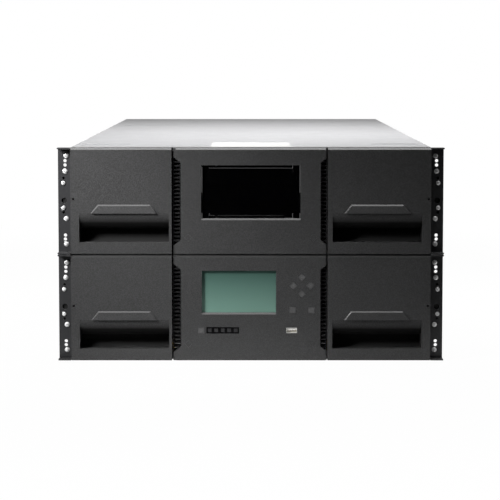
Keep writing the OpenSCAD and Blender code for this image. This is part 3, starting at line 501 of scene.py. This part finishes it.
def geometry_tree(name, inputs, build):
    """A geometry node tree with named inputs that ends in Realize Instances and Set Material."""
    tree = bpy.data.node_groups.get(name)
    if tree:
        return tree
    tree = bpy.data.node_groups.new(name, "GeometryNodeTree")
    tree.interface.new_socket("Geometry", in_out="INPUT", socket_type="NodeSocketGeometry")
    for label, kind in (*inputs, ("Material", "Material")):
        tree.interface.new_socket(label, in_out="INPUT", socket_type="NodeSocket" + kind)
    tree.interface.new_socket("Geometry", in_out="OUTPUT", socket_type="NodeSocketGeometry")
    t = Tree(tree)
    given = tree.nodes.new("NodeGroupInput").outputs
    whole = t.add("GeometryNodeRealizeInstances", {"Geometry": build(t, given)})
    dressed = t.add("GeometryNodeSetMaterial", {"Geometry": whole, "Material": given["Material"]})
    t.feed(tree.nodes.new("NodeGroupOutput").inputs[0], dressed)
    return tree


def grown(name, tree, points, material, body, slot, **values):
    """Runs a geometry node tree on a few points and keeps its result as a plain mesh."""
    seed = bpy.data.meshes.new(name + " points")
    seed.from_pydata([tuple(p) for p in points], [], [])
    source = bpy.data.objects.new(name + " source", seed)
    bpy.context.scene.collection.objects.link(source)
    modifier = source.modifiers.new("Tree", "NODES")
    modifier.node_group = tree
    for item in tree.interface.items_tree:
        key = item.name.replace(" ", "_").lower()
        if item.in_out == "INPUT" and key in values:
            modifier[item.identifier] = values[key]
        elif item.in_out == "INPUT" and item.name == "Material":
            modifier[item.identifier] = material
    depsgraph = bpy.context.evaluated_depsgraph_get()
    mesh = bpy.data.meshes.new_from_object(source.evaluated_get(depsgraph))
    bpy.data.objects.remove(source)
    mesh.name = name
    if not len(mesh.polygons):
        raise RuntimeError(name + " came out empty")
    return add_piece(name, mesh, material, body)


def screw_tree():
    """Pan heads with a round socket on every point, turned to face one way."""

    def build(t, given):
        radius = given["Radius"]
        height = t.math("MULTIPLY", radius, 0.55)
        head = t.add("GeometryNodeMeshCylinder", {"Vertices": 16, "Radius": radius, "Depth": height})
        shape, top = head.outputs["Mesh"], head.outputs["Top"]
        # Scale and rise of each ring: the head's shoulder, its crown and the sunk floor of the socket
        for share, rise in ((0.78, 0.16), (0.42, 0.05), (0.92, -0.42)):
            lift = t.math("MULTIPLY", radius, rise)
            step = t.add(
                "GeometryNodeExtrudeMesh",
                {"Mesh": shape, "Selection": top, "Offset Scale": lift},
                mode="FACES",
            )
            shape = t.add(
                "GeometryNodeScaleElements",
                {"Geometry": step.outputs["Mesh"], "Selection": step.outputs["Top"], "Scale": share},
            ).outputs[0]
            top = step.outputs["Top"]
        turn = t.add("FunctionNodeEulerToRotation", {0: given["Facing"]})
        return t.add(
            "GeometryNodeInstanceOnPoints", {"Points": given["Geometry"], "Instance": shape, "Rotation": turn}
        ).outputs[0]

    return geometry_tree("Screw set", [("Radius", "Float"), ("Facing", "Vector")], build)


def row_tree():
    """A row of equal bars from every point: count, step between two bars and the bar's own size."""

    def build(t, given):
        line = t.add("GeometryNodeMeshLine", {"Count": given["Count"], "Offset": given["Step"]})
        bar = t.add("GeometryNodeMeshCube", {"Size": given["Size"]})
        row = t.add("GeometryNodeInstanceOnPoints", {"Points": line, "Instance": bar})
        return t.add("GeometryNodeInstanceOnPoints", {"Points": given["Geometry"], "Instance": row}).outputs[0]

    return geometry_tree("Bar row", [("Count", "Int"), ("Step", "Vector"), ("Size", "Vector")], build)


def fan_tree():
    """Pitched blades around a hub that faces the back, on every point."""

    def build(t, given):
        line = t.add("GeometryNodeMeshLine", {"Count": given["Blades"], "Offset": (0.0, 0.0, 0.0)})
        index = t.add("GeometryNodeInputIndex")
        angle = t.math("DIVIDE", t.math("MULTIPLY", index, math.tau), given["Blades"])
        spin = t.add("FunctionNodeEulerToRotation", {0: t.add("ShaderNodeCombineXYZ", {1: angle})})
        reach = t.math("SUBTRACT", given["Outer"], given["Inner"])
        size = t.add("ShaderNodeCombineXYZ", {0: reach, 1: BLADE_THICKNESS, 2: given["Chord"]})
        blade = t.add("GeometryNodeMeshCube", {"Size": size, "Vertices X": 5})
        middle = t.math("MULTIPLY", t.math("ADD", given["Outer"], given["Inner"]), 0.5)
        place_out = t.add("ShaderNodeCombineXYZ", {0: middle})
        pitched = t.add(
            "GeometryNodeTransform",
            {"Geometry": blade, "Translation": place_out, "Rotation": (BLADE_PITCH, 0.0, 0.0)},
        )
        rotor = t.add("GeometryNodeInstanceOnPoints", {"Points": line, "Instance": pitched, "Rotation": spin})
        return t.add("GeometryNodeInstanceOnPoints", {"Points": given["Geometry"], "Instance": rotor}).outputs[0]

    inputs = [("Blades", "Int"), ("Inner", "Float"), ("Outer", "Float"), ("Chord", "Float")]
    return geometry_tree("Fan rotor", inputs, build)


FACING_BACK = (-math.pi / 2, 0.0, 0.0)


class TapeLibraryStep:
    """What every step's operator shares: a failed step raises, so that nothing is skipped unseen."""

    bl_options = {"REGISTER", "UNDO"}

    def execute(self, context):
        self.build(context.scene.tapelib_colours, context.scene.tapelib_sizes)
        return {"FINISHED"}


# ---------------------------------------------------------------- stage


class TAPELIB_OT_stage(TapeLibraryStep, bpy.types.Operator):
    """Camera, floor, world and soft lights"""

    bl_idname = "tapelib.stage"
    bl_label = "Stage"

    CAMERA_BACK = 1.9185
    CAMERA_HEIGHT = 0.38025
    CAMERA_TILT = math.radians(3.86)
    # Level of the white surroundings in reflections, and as light on matt surfaces
    MIRRORED = 0.25
    AMBIENT = 0.07
    # Name, place, aim, size, watts and spread of each lamp; the narrow key gives the front its fall-off
    LAMPS = (
        ("Key", (-0.571, -0.761, 0.509), (-0.16, -0.435, 0.20), (0.2, 0.3), 0.80, 46.0),
        ("Strip", (0.0, -0.50, 0.87), (0.0, -0.43, 0.0), (1.0, 0.24), 4.5, 180.0),
        ("Overhead", (0.05, 0.03, 0.95), (0.0, 0.03, 0.2), (0.6, 0.8), 5.6, 80.0),
    )

    def build(self, colours, sizes):
        self.camera()
        self.floor()
        self.flag()
        self.world()
        self.lights()

    def camera(self):
        data = bpy.data.cameras.new("Camera")
        data.sensor_width = 36.0
        data.lens = 111.28
        data.shift_x, data.shift_y = -0.0026, -0.1804
        data.clip_start, data.clip_end = 0.05, 60.0
        eye = bpy.data.objects.new("Camera", data)
        eye.location = (0.65 * MM, EAR_FACE_Y - self.CAMERA_BACK, self.CAMERA_HEIGHT)
        eye.rotation_euler = (math.pi / 2 - self.CAMERA_TILT, 0.0, 0.0)
        bpy.context.scene.collection.objects.link(eye)
        bpy.context.scene.camera = eye

    def floor(self):
        material, t = bare_material("Floor")
        spot = t.add("ShaderNodeTexCoord").outputs["Object"]
        grit = t.mix(t.noise(spot, 300.0), (0.59, 0.59, 0.59), (0.61, 0.61, 0.61))
        paper = t.add("ShaderNodeBsdfDiffuse", {"Color": grit})
        glow = t.add("ShaderNodeEmission", {"Color": (1.0, 1.0, 1.0, 1.0), "Strength": 1.0})
        away = t.add("ShaderNodeVectorMath", {0: spot}, operation="LENGTH").outputs["Value"]
        share = t.ramp(away, 0.4, 1.2, 0.975, 1.0, True)
        seen = t.add("ShaderNodeLightPath").outputs
        share = t.math("MULTIPLY", share, seen["Is Camera Ray"])
        mixed = t.add("ShaderNodeMixShader", {0: share, 1: paper.outputs[0], 2: glow.outputs[0]})
        # The floor in front of the object is kept out of its reflections, as a black cloth would do
        forward = t.add("ShaderNodeSeparateXYZ", {0: spot}).outputs["Y"]
        cloth = t.math("MULTIPLY", t.ramp(forward, -0.7, -0.5, 1.0, 0.0, True), seen["Is Glossy Ray"])
        black = t.add("ShaderNodeEmission", {"Color": (0.0, 0.0, 0.0, 1.0)})
        quiet = t.add("ShaderNodeMixShader", {0: cloth, 1: mixed.outputs[0], 2: black.outputs[0]})
        t.add("ShaderNodeOutputMaterial", {"Surface": quiet.outputs[0]})
        mesh = bmesh.new()
        bmesh.ops.create_grid(mesh, x_segments=1, y_segments=1, size=12.0)
        data = bpy.data.meshes.new("Floor")
        mesh.to_mesh(data)
        mesh.free()
        data.materials.append(material)
        floor = bpy.data.objects.new("Floor", data)
        floor.location.z = CAD_LOW.z - FLOOR_DROP
        bpy.context.scene.collection.objects.link(floor)

    def flag(self):
        """Black card far in front, seen only by reflections."""
        material, t = bare_material("Black card")
        black = t.add("ShaderNodeEmission", {"Color": (0.0, 0.0, 0.0, 1.0)})
        t.add("ShaderNodeOutputMaterial", {"Surface": black.outputs[0]})
        data = bpy.data.meshes.new("Card")
        data.from_pydata([(-6, -4, -0.2), (6, -4, -0.2), (6, -4, 5), (-6, -4, 5)], [], [(0, 1, 2, 3)])
        data.materials.append(material)
        card = bpy.data.objects.new("Card", data)
        for ray in ("camera", "diffuse", "shadow"):
            setattr(card, "visible_" + ray, False)
        bpy.context.scene.collection.objects.link(card)

    def world(self):
        world = bpy.data.worlds.new("Studio")
        world.use_nodes = True
        world.node_tree.nodes.clear()
        t = Tree(world.node_tree)
        seen = t.add("ShaderNodeLightPath").outputs
        direct = t.math("MAXIMUM", seen["Is Camera Ray"], seen["Is Transmission Ray"])
        level = t.math("MAXIMUM", direct, t.math("MULTIPLY", seen["Is Glossy Ray"], self.MIRRORED))
        level = t.math("MAXIMUM", level, self.AMBIENT)
        sky = t.add("ShaderNodeBackground", {"Color": (1.0, 1.0, 1.0, 1.0), "Strength": level})
        t.add("ShaderNodeOutputWorld", {"Surface": sky.outputs[0]})
        bpy.context.scene.world = world

    def lights(self):
        for lamp in self.LAMPS:
            self.softbox(*lamp)
        bpy.context.scene.view_settings.view_transform = "Standard"

    def softbox(self, name, place_at, aim, size, watts, spread):
        data = bpy.data.lights.new(name, "AREA")
        data.shape = "RECTANGLE"
        data.size, data.size_y = size
        data.energy = watts
        data.spread = math.radians(spread)
        lamp = bpy.data.objects.new(name, data)
        lamp.visible_camera = False
        lamp.location = place_at
        lamp.rotation_euler = (Vector(aim) - Vector(place_at)).to_track_quat("-Z", "Y").to_euler()
        bpy.context.scene.collection.objects.link(lamp)


# ---------------------------------------------------------------- finishes of the frame's own nodes


class TAPELIB_OT_chassis(TapeLibraryStep, bpy.types.Operator):
    """Finishes of the sheet metal: walls, covers, panels, ears and frames"""

    bl_idname = "tapelib.chassis"
    bl_label = "Chassis"

    # Ends of a nut plate above the module's underside, its clearance to the side wall and to the ear's edge,
    # and its faces behind the ear's front
    NUT_PLATE_Z = (47 * MM, 99 * MM)
    NUT_PLATE_IN, NUT_PLATE_OUT = 1.6 * MM, 1.5 * MM
    NUT_PLATE_Y = (2.1 * MM, 3.6 * MM)
    # First screw of a side flange behind the ears, the spacing and the number in a row
    SIDE_SCREW_START, SIDE_SCREW_PITCH, SIDE_SCREWS = 110, 140, 6
    SIDE_SCREW_Z = (6 * MM, MODULE_H - 7 * MM, MODULE_H + 8 * MM, 2 * MODULE_H - 7 * MM)
    REAR_SCREW_X = (-217 * MM, -81.5 * MM, 81.5 * MM, 217 * MM)
    REAR_SCREW_Z = (8 * MM, MODULE_H / 2, MODULE_H - 9 * MM)

    def build(self, colours, sizes):
        zinc = plated("Zinc sheet", colours.zinc, 0.36, cells=120.0)
        cover = labelled_cover("Cover sheet", colours.cover)
        dark = coated("Ear coat", colours.ear, 0.42, wear=0.6)
        rack = plated("Rack steel", (0.42, 0.42, 0.44), 0.3, cells=200.0)
        rail = plastic("Rail plastic", (0.05, 0.05, 0.052), 0.45, 700.0)
        for node in ("side_walls", "bottom_cover", "upper_floor_pan", "base_rear_panel", "upper_rear_panel",
                     "front_bulkheads", "drive_cages", "rear_blanks"):
            paint(node, zinc)
        paint("top_cover", cover)
        for module in MODULES:
            paint(module + "_rack_ears", dark)
        bright = plated("Bright screws", colours.screw, 0.5, metallic=0.55, cells=300.0)
        paint("ear_screws", bright)
        paint("lift_racks", rack)
        paint("bay_rails", rail)
        self.nut_plates(coated("Nut plate black", (0.003, 0.003, 0.003), 0.7, wear=0.0, dust=0.0))
        self.side_screws(bright, sizes.screw_head)
        self.rear_screws(bright, sizes.screw_head)

    def nut_plates(self, material):
        """Strips with blind nuts behind the middle of the ears, which close the rack and threaded holes."""
        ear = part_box("base_rack_ears")
        for module, base_z in zip(MODULES, (0.0, MODULE_H)):
            work = bmesh.new()
            for sign in (-1, 1):
                ends = (CHASSIS_X + self.NUT_PLATE_IN, ear[1].x - self.NUT_PLATE_OUT)
                corners = zip(sorted(sign * x for x in ends), self.NUT_PLATE_Y, self.NUT_PLATE_Z)
                soft_box(work, *[(x, EAR_FACE_Y + y, base_z + z) for x, y, z in corners])
            finish_mesh(module + "_nut_plates", work, material, "chassis")

    def side_screws(self, material, radius):
        """Rows of screws along the flanges of both side walls."""
        for side, sign in zip(SIDES, (-1, 1)):
            points = [
                (sign * (CHASSIS_X + radius * SCREW_SEAT), EAR_FACE_Y + y * MM, level)
                for level in self.SIDE_SCREW_Z
                for y in (self.SIDE_SCREW_START + self.SIDE_SCREW_PITCH * i for i in range(self.SIDE_SCREWS))
            ]
            facing = (0.0, sign * math.pi / 2, 0.0)
            grown(side + "_side_screws", screw_tree(), points, material, "chassis", "screw_steel",
                  radius=radius, facing=facing)

    def rear_screws(self, material, radius):
        """Screws that hold the rear panels."""
        points = [
            (x, REAR_FACE_Y + radius * SCREW_SEAT, base_z + level)
            for base_z in (0.0, MODULE_H)
            for level in self.REAR_SCREW_Z
            for x in self.REAR_SCREW_X
        ]
        grown("rear_screws", screw_tree(), points, material, "chassis", "screw_steel",
              radius=radius, facing=FACING_BACK)


class TAPELIB_OT_bezels(TapeLibraryStep, bpy.types.Operator):
    """Finish of the six bezels, their louvres and the rolled lips of the finger pockets"""

    bl_idname = "tapelib.bezels"
    bl_label = "Bezels"

    def build(self, colours, sizes):
        grain = 1 / sizes.grain
        base = Vector(colours.bezel[:])
        # Painted shade: the bezels are darkened far into the finger pockets and along the seam between the modules,
        # and the rolled lips from just behind their front edge
        charcoal = plastic("Charcoal bezel", base, 0.38, grain, wear=0.35, painted_shade=(2 * MM, 13 * MM))
        lip = plastic("Pocket lip", base, 0.55, grain, wear=0.0, spec=0.2, painted_shade=(-0.3 * MM, 3.0 * MM))
        for module in MODULES:
            for part in ("left", "right", "centre"):
                paint(f"{module}_{part}_bezel", charcoal)
        # Painted shade: the louvres are painted near black with little specular, for the shade far back in the
        # vents
        louvre = plastic("Louvres painted dark as shade", base * 0.03, 0.9, grain, wear=0.0, dust=0.0, spec=0.03)
        paint("centre_louvres", louvre)
        paint("bezel_plugs", plastic("Plug plastic", base * 0.9, 0.5, grain))
        for module, base_z in zip(MODULES, (0.0, MODULE_H)):
            for side, sign in zip(SIDES, (-1, 1)):
                self.pocket_nose(module, side, sign, base_z, sizes, lip)
                self.brow_bevel(module, side, sign, base_z, charcoal)

    @staticmethod
    def pocket_ends(module):
        """Where a pocket of this module starts and ends, measured from the middle of the library."""
        inner = -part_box(module + "_left_bezel")[1].x + POCKET_MARGIN_IN
        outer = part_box(module + "_right_bezel")[1].x - POCKET_MARGIN_OUT
        return inner, outer

    def pocket_nose(self, module, side, sign, base_z, sizes, material):
        """Lip that rolls in from the pocket's top edge and curls up behind, where fingers pull."""
        inner, outer = self.pocket_ends(module)
        top = base_z + POCKET_HIGH
        depth, height, wall = sizes.nose_depth, sizes.nose_height, sizes.nose_wall

        def arc(inset):
            return [
                (BEZEL_FACE_Y + depth - (depth - inset) * math.cos(a), top - (height - inset) * math.sin(a))
                for a in (math.radians(6 * i) for i in range(24))
            ]

        work = bmesh.new()
        prism(work, arc(0.0) + arc(wall)[::-1], sign * inner, sign * outer, 0)
        body = f"{module}_{side}_magazine"
        finish_mesh(f"{module}_{side}_pocket_nose", work, material, body, True)

    def brow_bevel(self, module, side, sign, base_z, material):
        """Bevel around the top and the slanted ends of the raised brow above a finger pocket."""
        inner, outer = self.pocket_ends(module)
        middle, foot = (inner + outer) / 2, base_z + POCKET_HIGH
        half_foot = (outer - inner) / 2 - BROW_INSET
        half_top, top = half_foot - BROW_LEAN, foot + BROW_HEIGHT
        # Each corner of the brow, then the bevel's reach across and up, and how proud its ridge stands
        path = (
            (-half_foot, foot, -1.5 * MM, 0.0, 3.0 * MM),
            (-half_top, top, -0.8 * MM, 1.6 * MM, 1.5 * MM),
            (half_top, top, 0.8 * MM, 1.6 * MM, 1.5 * MM),
            (half_foot, foot, 1.5 * MM, 0.0, 3.0 * MM),
        )
        work = bmesh.new()
        rows = []
        for x, z, out_x, out_z, proud in path:
            ends = ((x, z, -proud), (x + out_x, z + out_z, 0.0), (x, z, 0.0))
            rows.append([work.verts.new((sign * (middle + u), BEZEL_FACE_Y + v, w)) for u, w, v in ends])
        work.faces.new(rows[0])
        work.faces.new(rows[-1][::-1])
        for one, two in zip(rows, rows[1:]):
            for i in range(3):
                work.faces.new((one[i - 1], two[i - 1], two[i], one[i]))
        body = f"{module}_{side}_magazine"
        finish_mesh(f"{module}_{side}_brow_bevel", work, material, body)


class TAPELIB_OT_window(TapeLibraryStep, bpy.types.Operator):
    """Window, screen and what is fixed behind them"""

    bl_idname = "tapelib.window"
    bl_label = "Window and screen"

    # Levels of the lips in from the clips' lower and upper ends, a lip's size, and the gap between two lips
    LIP_LOW, LIP_HIGH = 4.8 * MM, 5.6 * MM
    LIP_HEIGHT, LIP_DEPTH = 0.8 * MM, 0.6 * MM
    LIP_GAP = (8.3 * MM, 11 * MM)

    def build(self, colours, sizes):
        paint("window_pane", smoked_glass("Smoked pane", colours.glass, 0.5))
        # Painted highlight: the lips of the clips are painted bright, as their edges catch light
        clip = plated("Clip metal", (0.8, 0.8, 0.8), 0.5, metallic=0.2, cells=300.0)
        # Painted shade: the clips that hold the pane are painted near black
        paint("window_retainers", coated("Clip painted dark as shade", (0.01, 0.01, 0.01)))
        self.clip_lips(clip)
        paint("lcd_module", screen("Screen glass", colours.screen_low, colours.screen_high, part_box("lcd_module")))
        paint("status_lens", smoked_glass("Lens black", (0.004, 0.004, 0.0045)))
        paint("control_board", board("Control board"))
        self.light_windows(printed("Status lights", (0.022, 0.022, 0.023)))

    def clip_lips(self, material):
        """Folded lips along the inner edges of the clips that hold the pane, painted bright as a highlight where
        their edges catch light.
        """
        clips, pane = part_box("window_retainers"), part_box("window_pane")
        work = bmesh.new()
        first_end, second_start = (clips[0].x + x for x in self.LIP_GAP)
        for low_z in (clips[0].z + self.LIP_LOW, clips[1].z - self.LIP_HIGH):
            for x0, x1 in ((clips[0].x, first_end), (second_start, clips[1].x)):
                low = (x0, pane[1].y + 0.02 * MM, low_z)
                soft_box(work, low, (x1, pane[1].y + self.LIP_DEPTH, low_z + self.LIP_HEIGHT))
        finish_mesh("clip_lips", work, material, "chassis")

    def light_windows(self, material):
        """Unlit squares of the five status lights, set in the black strip."""
        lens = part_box("status_lens")
        count, half = 5, 2.3 * MM
        pitch = (lens[1].x - lens[0].x) / count
        middle_z = (lens[0].z + lens[1].z) / 2
        work = bmesh.new()
        for x in (lens[0].x + (i + 0.5) * pitch for i in range(count)):
            low = (x - half, lens[0].y - 0.1 * MM, middle_z - half)
            soft_box(work, low, (x + half, lens[0].y + 0.45 * MM, middle_z + half), 0.2 * MM)
        finish_mesh("status_lights", work, material, "chassis")


class TAPELIB_OT_controls(TapeLibraryStep, bpy.types.Operator):
    """Push buttons and the data port beside the screen"""

    bl_idname = "tapelib.controls"
    bl_label = "Controls"

    def build(self, colours, sizes):
        key = plastic("Button plastic", Vector(colours.bezel[:]) * 2.1, 0.5, 1500.0, wear=0.3)
        for name in ("up", "down", "left", "right", "back", "enter", "power"):
            paint(name + "_button", key)
        paint("usb_port", plated("Port shell", (0.92, 0.91, 0.88), 0.4, metallic=0.2, cells=400.0))
        ink = printed("Button ink", colours.mark)
        for name, turn in (("up", 90), ("down", -90), ("left", 180), ("right", 0)):
            self.arrow(name, turn, sizes.mark, ink)
        self.power_sign(ink)
        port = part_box("usb_port")
        start = (port[0].x + 3.2 * MM, port[0].y + 2.2 * MM, (port[0].z + port[1].z) / 2 + 0.24 * MM)
        gold = plated("Gold", colours.gold, 0.2, cells=400.0)
        grown("port_contacts", row_tree(), [start], gold, "chassis", "port_metal",
              count=4, step=(2.25 * MM, 0.0, 0.0), size=(1.1 * MM, 2.4 * MM, 0.12 * MM))

    def arrow(self, name, turn, size, material):
        """Small printed triangle that points the button's way."""
        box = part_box(name + "_button")
        middle = (box[0] + box[1]) / 2
        points = [
            (middle.x + size / 2 * math.cos(a), middle.z + size / 2 * math.sin(a))
            for a in (math.radians(turn + 120 * i) for i in range(3))
        ]
        work = bmesh.new()
        prism(work, points, box[0].y - INK / 2, box[0].y + INK / 2, 1)
        finish_mesh(name + "_arrow", work, material, name + "_key")

    def power_sign(self, material):
        """Printed ring, open at the top, with a short stroke in the opening."""
        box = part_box("power_button")
        middle = (box[0] + box[1]) / 2
        outer, inner = 1.7 * MM, 1.3 * MM
        angles = [math.radians(125 + 290 * i / 20) for i in range(21)]
        ring = [(middle.x + r * math.cos(a), middle.z + r * math.sin(a))
                for r, order in ((outer, angles), (inner, angles[::-1])) for a in order]
        work = bmesh.new()
        low, high = box[0].y - INK / 2, box[0].y + INK / 2
        prism(work, ring, low, high, 1)
        stroke = (middle.x - 0.2 * MM, low, middle.z + 0.3 * MM)
        soft_box(work, stroke, (middle.x + 0.2 * MM, high, middle.z + 2 * MM), 0.01 * MM)
        finish_mesh("power_sign", work, material, "power_key")


class TAPELIB_OT_magazines(TapeLibraryStep, bpy.types.Operator):
    """Magazine frames, shelves and cartridges"""

    bl_idname = "tapelib.magazines"
    bl_label = "Magazines"

    def build(self, colours, sizes):
        shell = plastic("Magazine plastic", (0.075, 0.075, 0.078), 0.5, 700.0)
        shelf = plastic("Shelf plastic", (0.06, 0.06, 0.063), 0.5, 700.0)
        tape = plastic("Cartridge plastic", (0.03, 0.032, 0.036), 0.45, 1200.0)
        printed_label = printed("Cartridge label", colours.label)
        for module in MODULES:
            for side in SIDES:
                paint(f"{module}_{side}_frame", shell)
                paint(f"{module}_{side}_shelves", shelf)
                paint(f"{module}_{side}_cartridges", tape)
                self.labels(module, side, printed_label)

    def labels(self, module, side, material):
        """A plain label strip in the recess of each cartridge's aisle edge."""
        low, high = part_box(f"{module}_{side}_cartridges")
        columns = round((high.y - low.y) / (CARTRIDGE.y * COLUMN_SPACING))
        pitch = (high.y - low.y - CARTRIDGE.y) / (columns - 1)
        tiers = round((high.z - low.z) / CARTRIDGE.z)
        step = (high.z - low.z - CARTRIDGE.z) / (tiers - 1)
        sunk = 0.65 * MM
        x = high.x - sunk if side == "left" else low.x + sunk
        points = [(x, low.y + CARTRIDGE.y / 2 + i * pitch, low.z + CARTRIDGE.z / 2) for i in range(columns)]
        grown(f"{module}_{side}_labels", row_tree(), points, material, f"{module}_{side}_magazine",
              "cartridge_plastic", count=tiers, step=(0.0, 0.0, step),
              size=(0.3 * MM, CARTRIDGE.y - 30 * MM, CARTRIDGE.z - 10 * MM))


class TAPELIB_OT_robot(TapeLibraryStep, bpy.types.Operator):
    """Finishes of the climbing robot"""

    bl_idname = "tapelib.robot"
    bl_label = "Robot"

    def build(self, colours, sizes):
        body = plastic("Robot plastic", (0.10, 0.10, 0.105), 0.45, 900.0)
        paint("lift_platform", plated("Platform plate", (0.6, 0.6, 0.62), 0.35))
        paint("guide_rods", plated("Rod steel", (0.7, 0.7, 0.71), 0.15, cells=300.0))
        brass = plated("Brass", colours.brass, 0.3, cells=300.0)
        paint("left_lift_shaft", brass)
        paint("right_lift_shaft", brass)
        for node in ("robot_carriage", "picker", "gripper"):
            paint(node, body)


class TAPELIB_OT_rear_units(TapeLibraryStep, bpy.types.Operator):
    """Power supplies, drives and controller cards at the back"""

    bl_idname = "tapelib.rear_units"
    bl_label = "Rear units"

    # Middle of a fan, in from its power supply's edge and in front of the rear face, and its blades' ends
    FAN_IN, FAN_AHEAD = 32 * MM, 10.5 * MM
    FAN_HUB, FAN_TIP = 8.5 * MM, 23 * MM
    # First port of a controller card, the ports' spacing and level (mm), and their number in each module
    PORT_START, PORT_PITCH, PORT_LEVEL = 16.6, 24, 81
    PORTS = (3, 2)

    def build(self, colours, sizes):
        steel = plated("Unit steel", (0.55, 0.55, 0.56), 0.4, cells=150.0)
        for node in ("base_power_supply_1", "base_power_supply_2", "upper_power_supply", "base_drive",
                     "upper_drive", "controller_cards"):
            paint(node, steel)
        fan = plastic("Fan plastic", (0.012, 0.012, 0.013), 0.5, 900.0)
        gold = plated("Port gold", colours.gold, 0.25, cells=400.0)
        for node in ("base_power_supply_1", "base_power_supply_2", "upper_power_supply"):
            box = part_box(node)
            hub = (box[1].x - self.FAN_IN, REAR_FACE_Y - self.FAN_AHEAD, (box[0].z + box[1].z) / 2)
            grown(node + "_fan", fan_tree(), [hub], fan, node + "_unit", "unit_steel",
                  blades=7, inner=self.FAN_HUB, outer=self.FAN_TIP, chord=sizes.fan_blade)
        card_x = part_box("controller_cards")[0].x
        for module, base_z, ports in zip(MODULES, (0.0, MODULE_H), self.PORTS):
            across = [card_x + (self.PORT_START + self.PORT_PITCH * i) * MM for i in range(ports)]
            points = [(x, REAR_FACE_Y - 6 * MM, base_z + self.PORT_LEVEL * MM) for x in across]
            grown(module + "_port_pins", row_tree(), points, gold, "chassis", "port_metal",
                  count=8, step=(1.26 * MM, 0.0, 0.0), size=(0.6 * MM, 8 * MM, 0.5 * MM))


# ---------------------------------------------------------------- panel and registration

STEPS = (
    TAPELIB_OT_stage,
    TAPELIB_OT_chassis,
    TAPELIB_OT_bezels,
    TAPELIB_OT_window,
    TAPELIB_OT_controls,
    TAPELIB_OT_magazines,
    TAPELIB_OT_robot,
    TAPELIB_OT_rear_units,
)


class TAPELIB_PT_panel(bpy.types.Panel):
    """Lists the steps and the values that they use"""

    bl_idname = "TAPELIB_PT_panel"
    bl_label = "Tape Library"
    bl_space_type = "VIEW_3D"
    bl_region_type = "UI"
    bl_category = "Tape Library"

    def draw(self, context):
        column = self.layout.column(align=True)
        for step in STEPS:
            column.operator(step.bl_idname)
        for group in (context.scene.tapelib_colours, context.scene.tapelib_sizes):
            column.separator()
            for name in type(group).__annotations__:
                column.prop(group, name)


CLASSES = (TAPELIB_PG_colours, TAPELIB_PG_sizes, *STEPS, TAPELIB_PT_panel)


def register():
    for item in CLASSES:
        bpy.utils.register_class(item)
    bpy.types.Scene.tapelib_colours = PointerProperty(type=TAPELIB_PG_colours)
    bpy.types.Scene.tapelib_sizes = PointerProperty(type=TAPELIB_PG_sizes)


def unregister():
    del bpy.types.Scene.tapelib_sizes
    del bpy.types.Scene.tapelib_colours
    for item in reversed(CLASSES):
        bpy.utils.unregister_class(item)


def main():
    register()
    for step in STEPS:
        family, name = step.bl_idname.split(".")
        getattr(getattr(bpy.ops, family), name)()


if __name__ == "__main__":
    main()
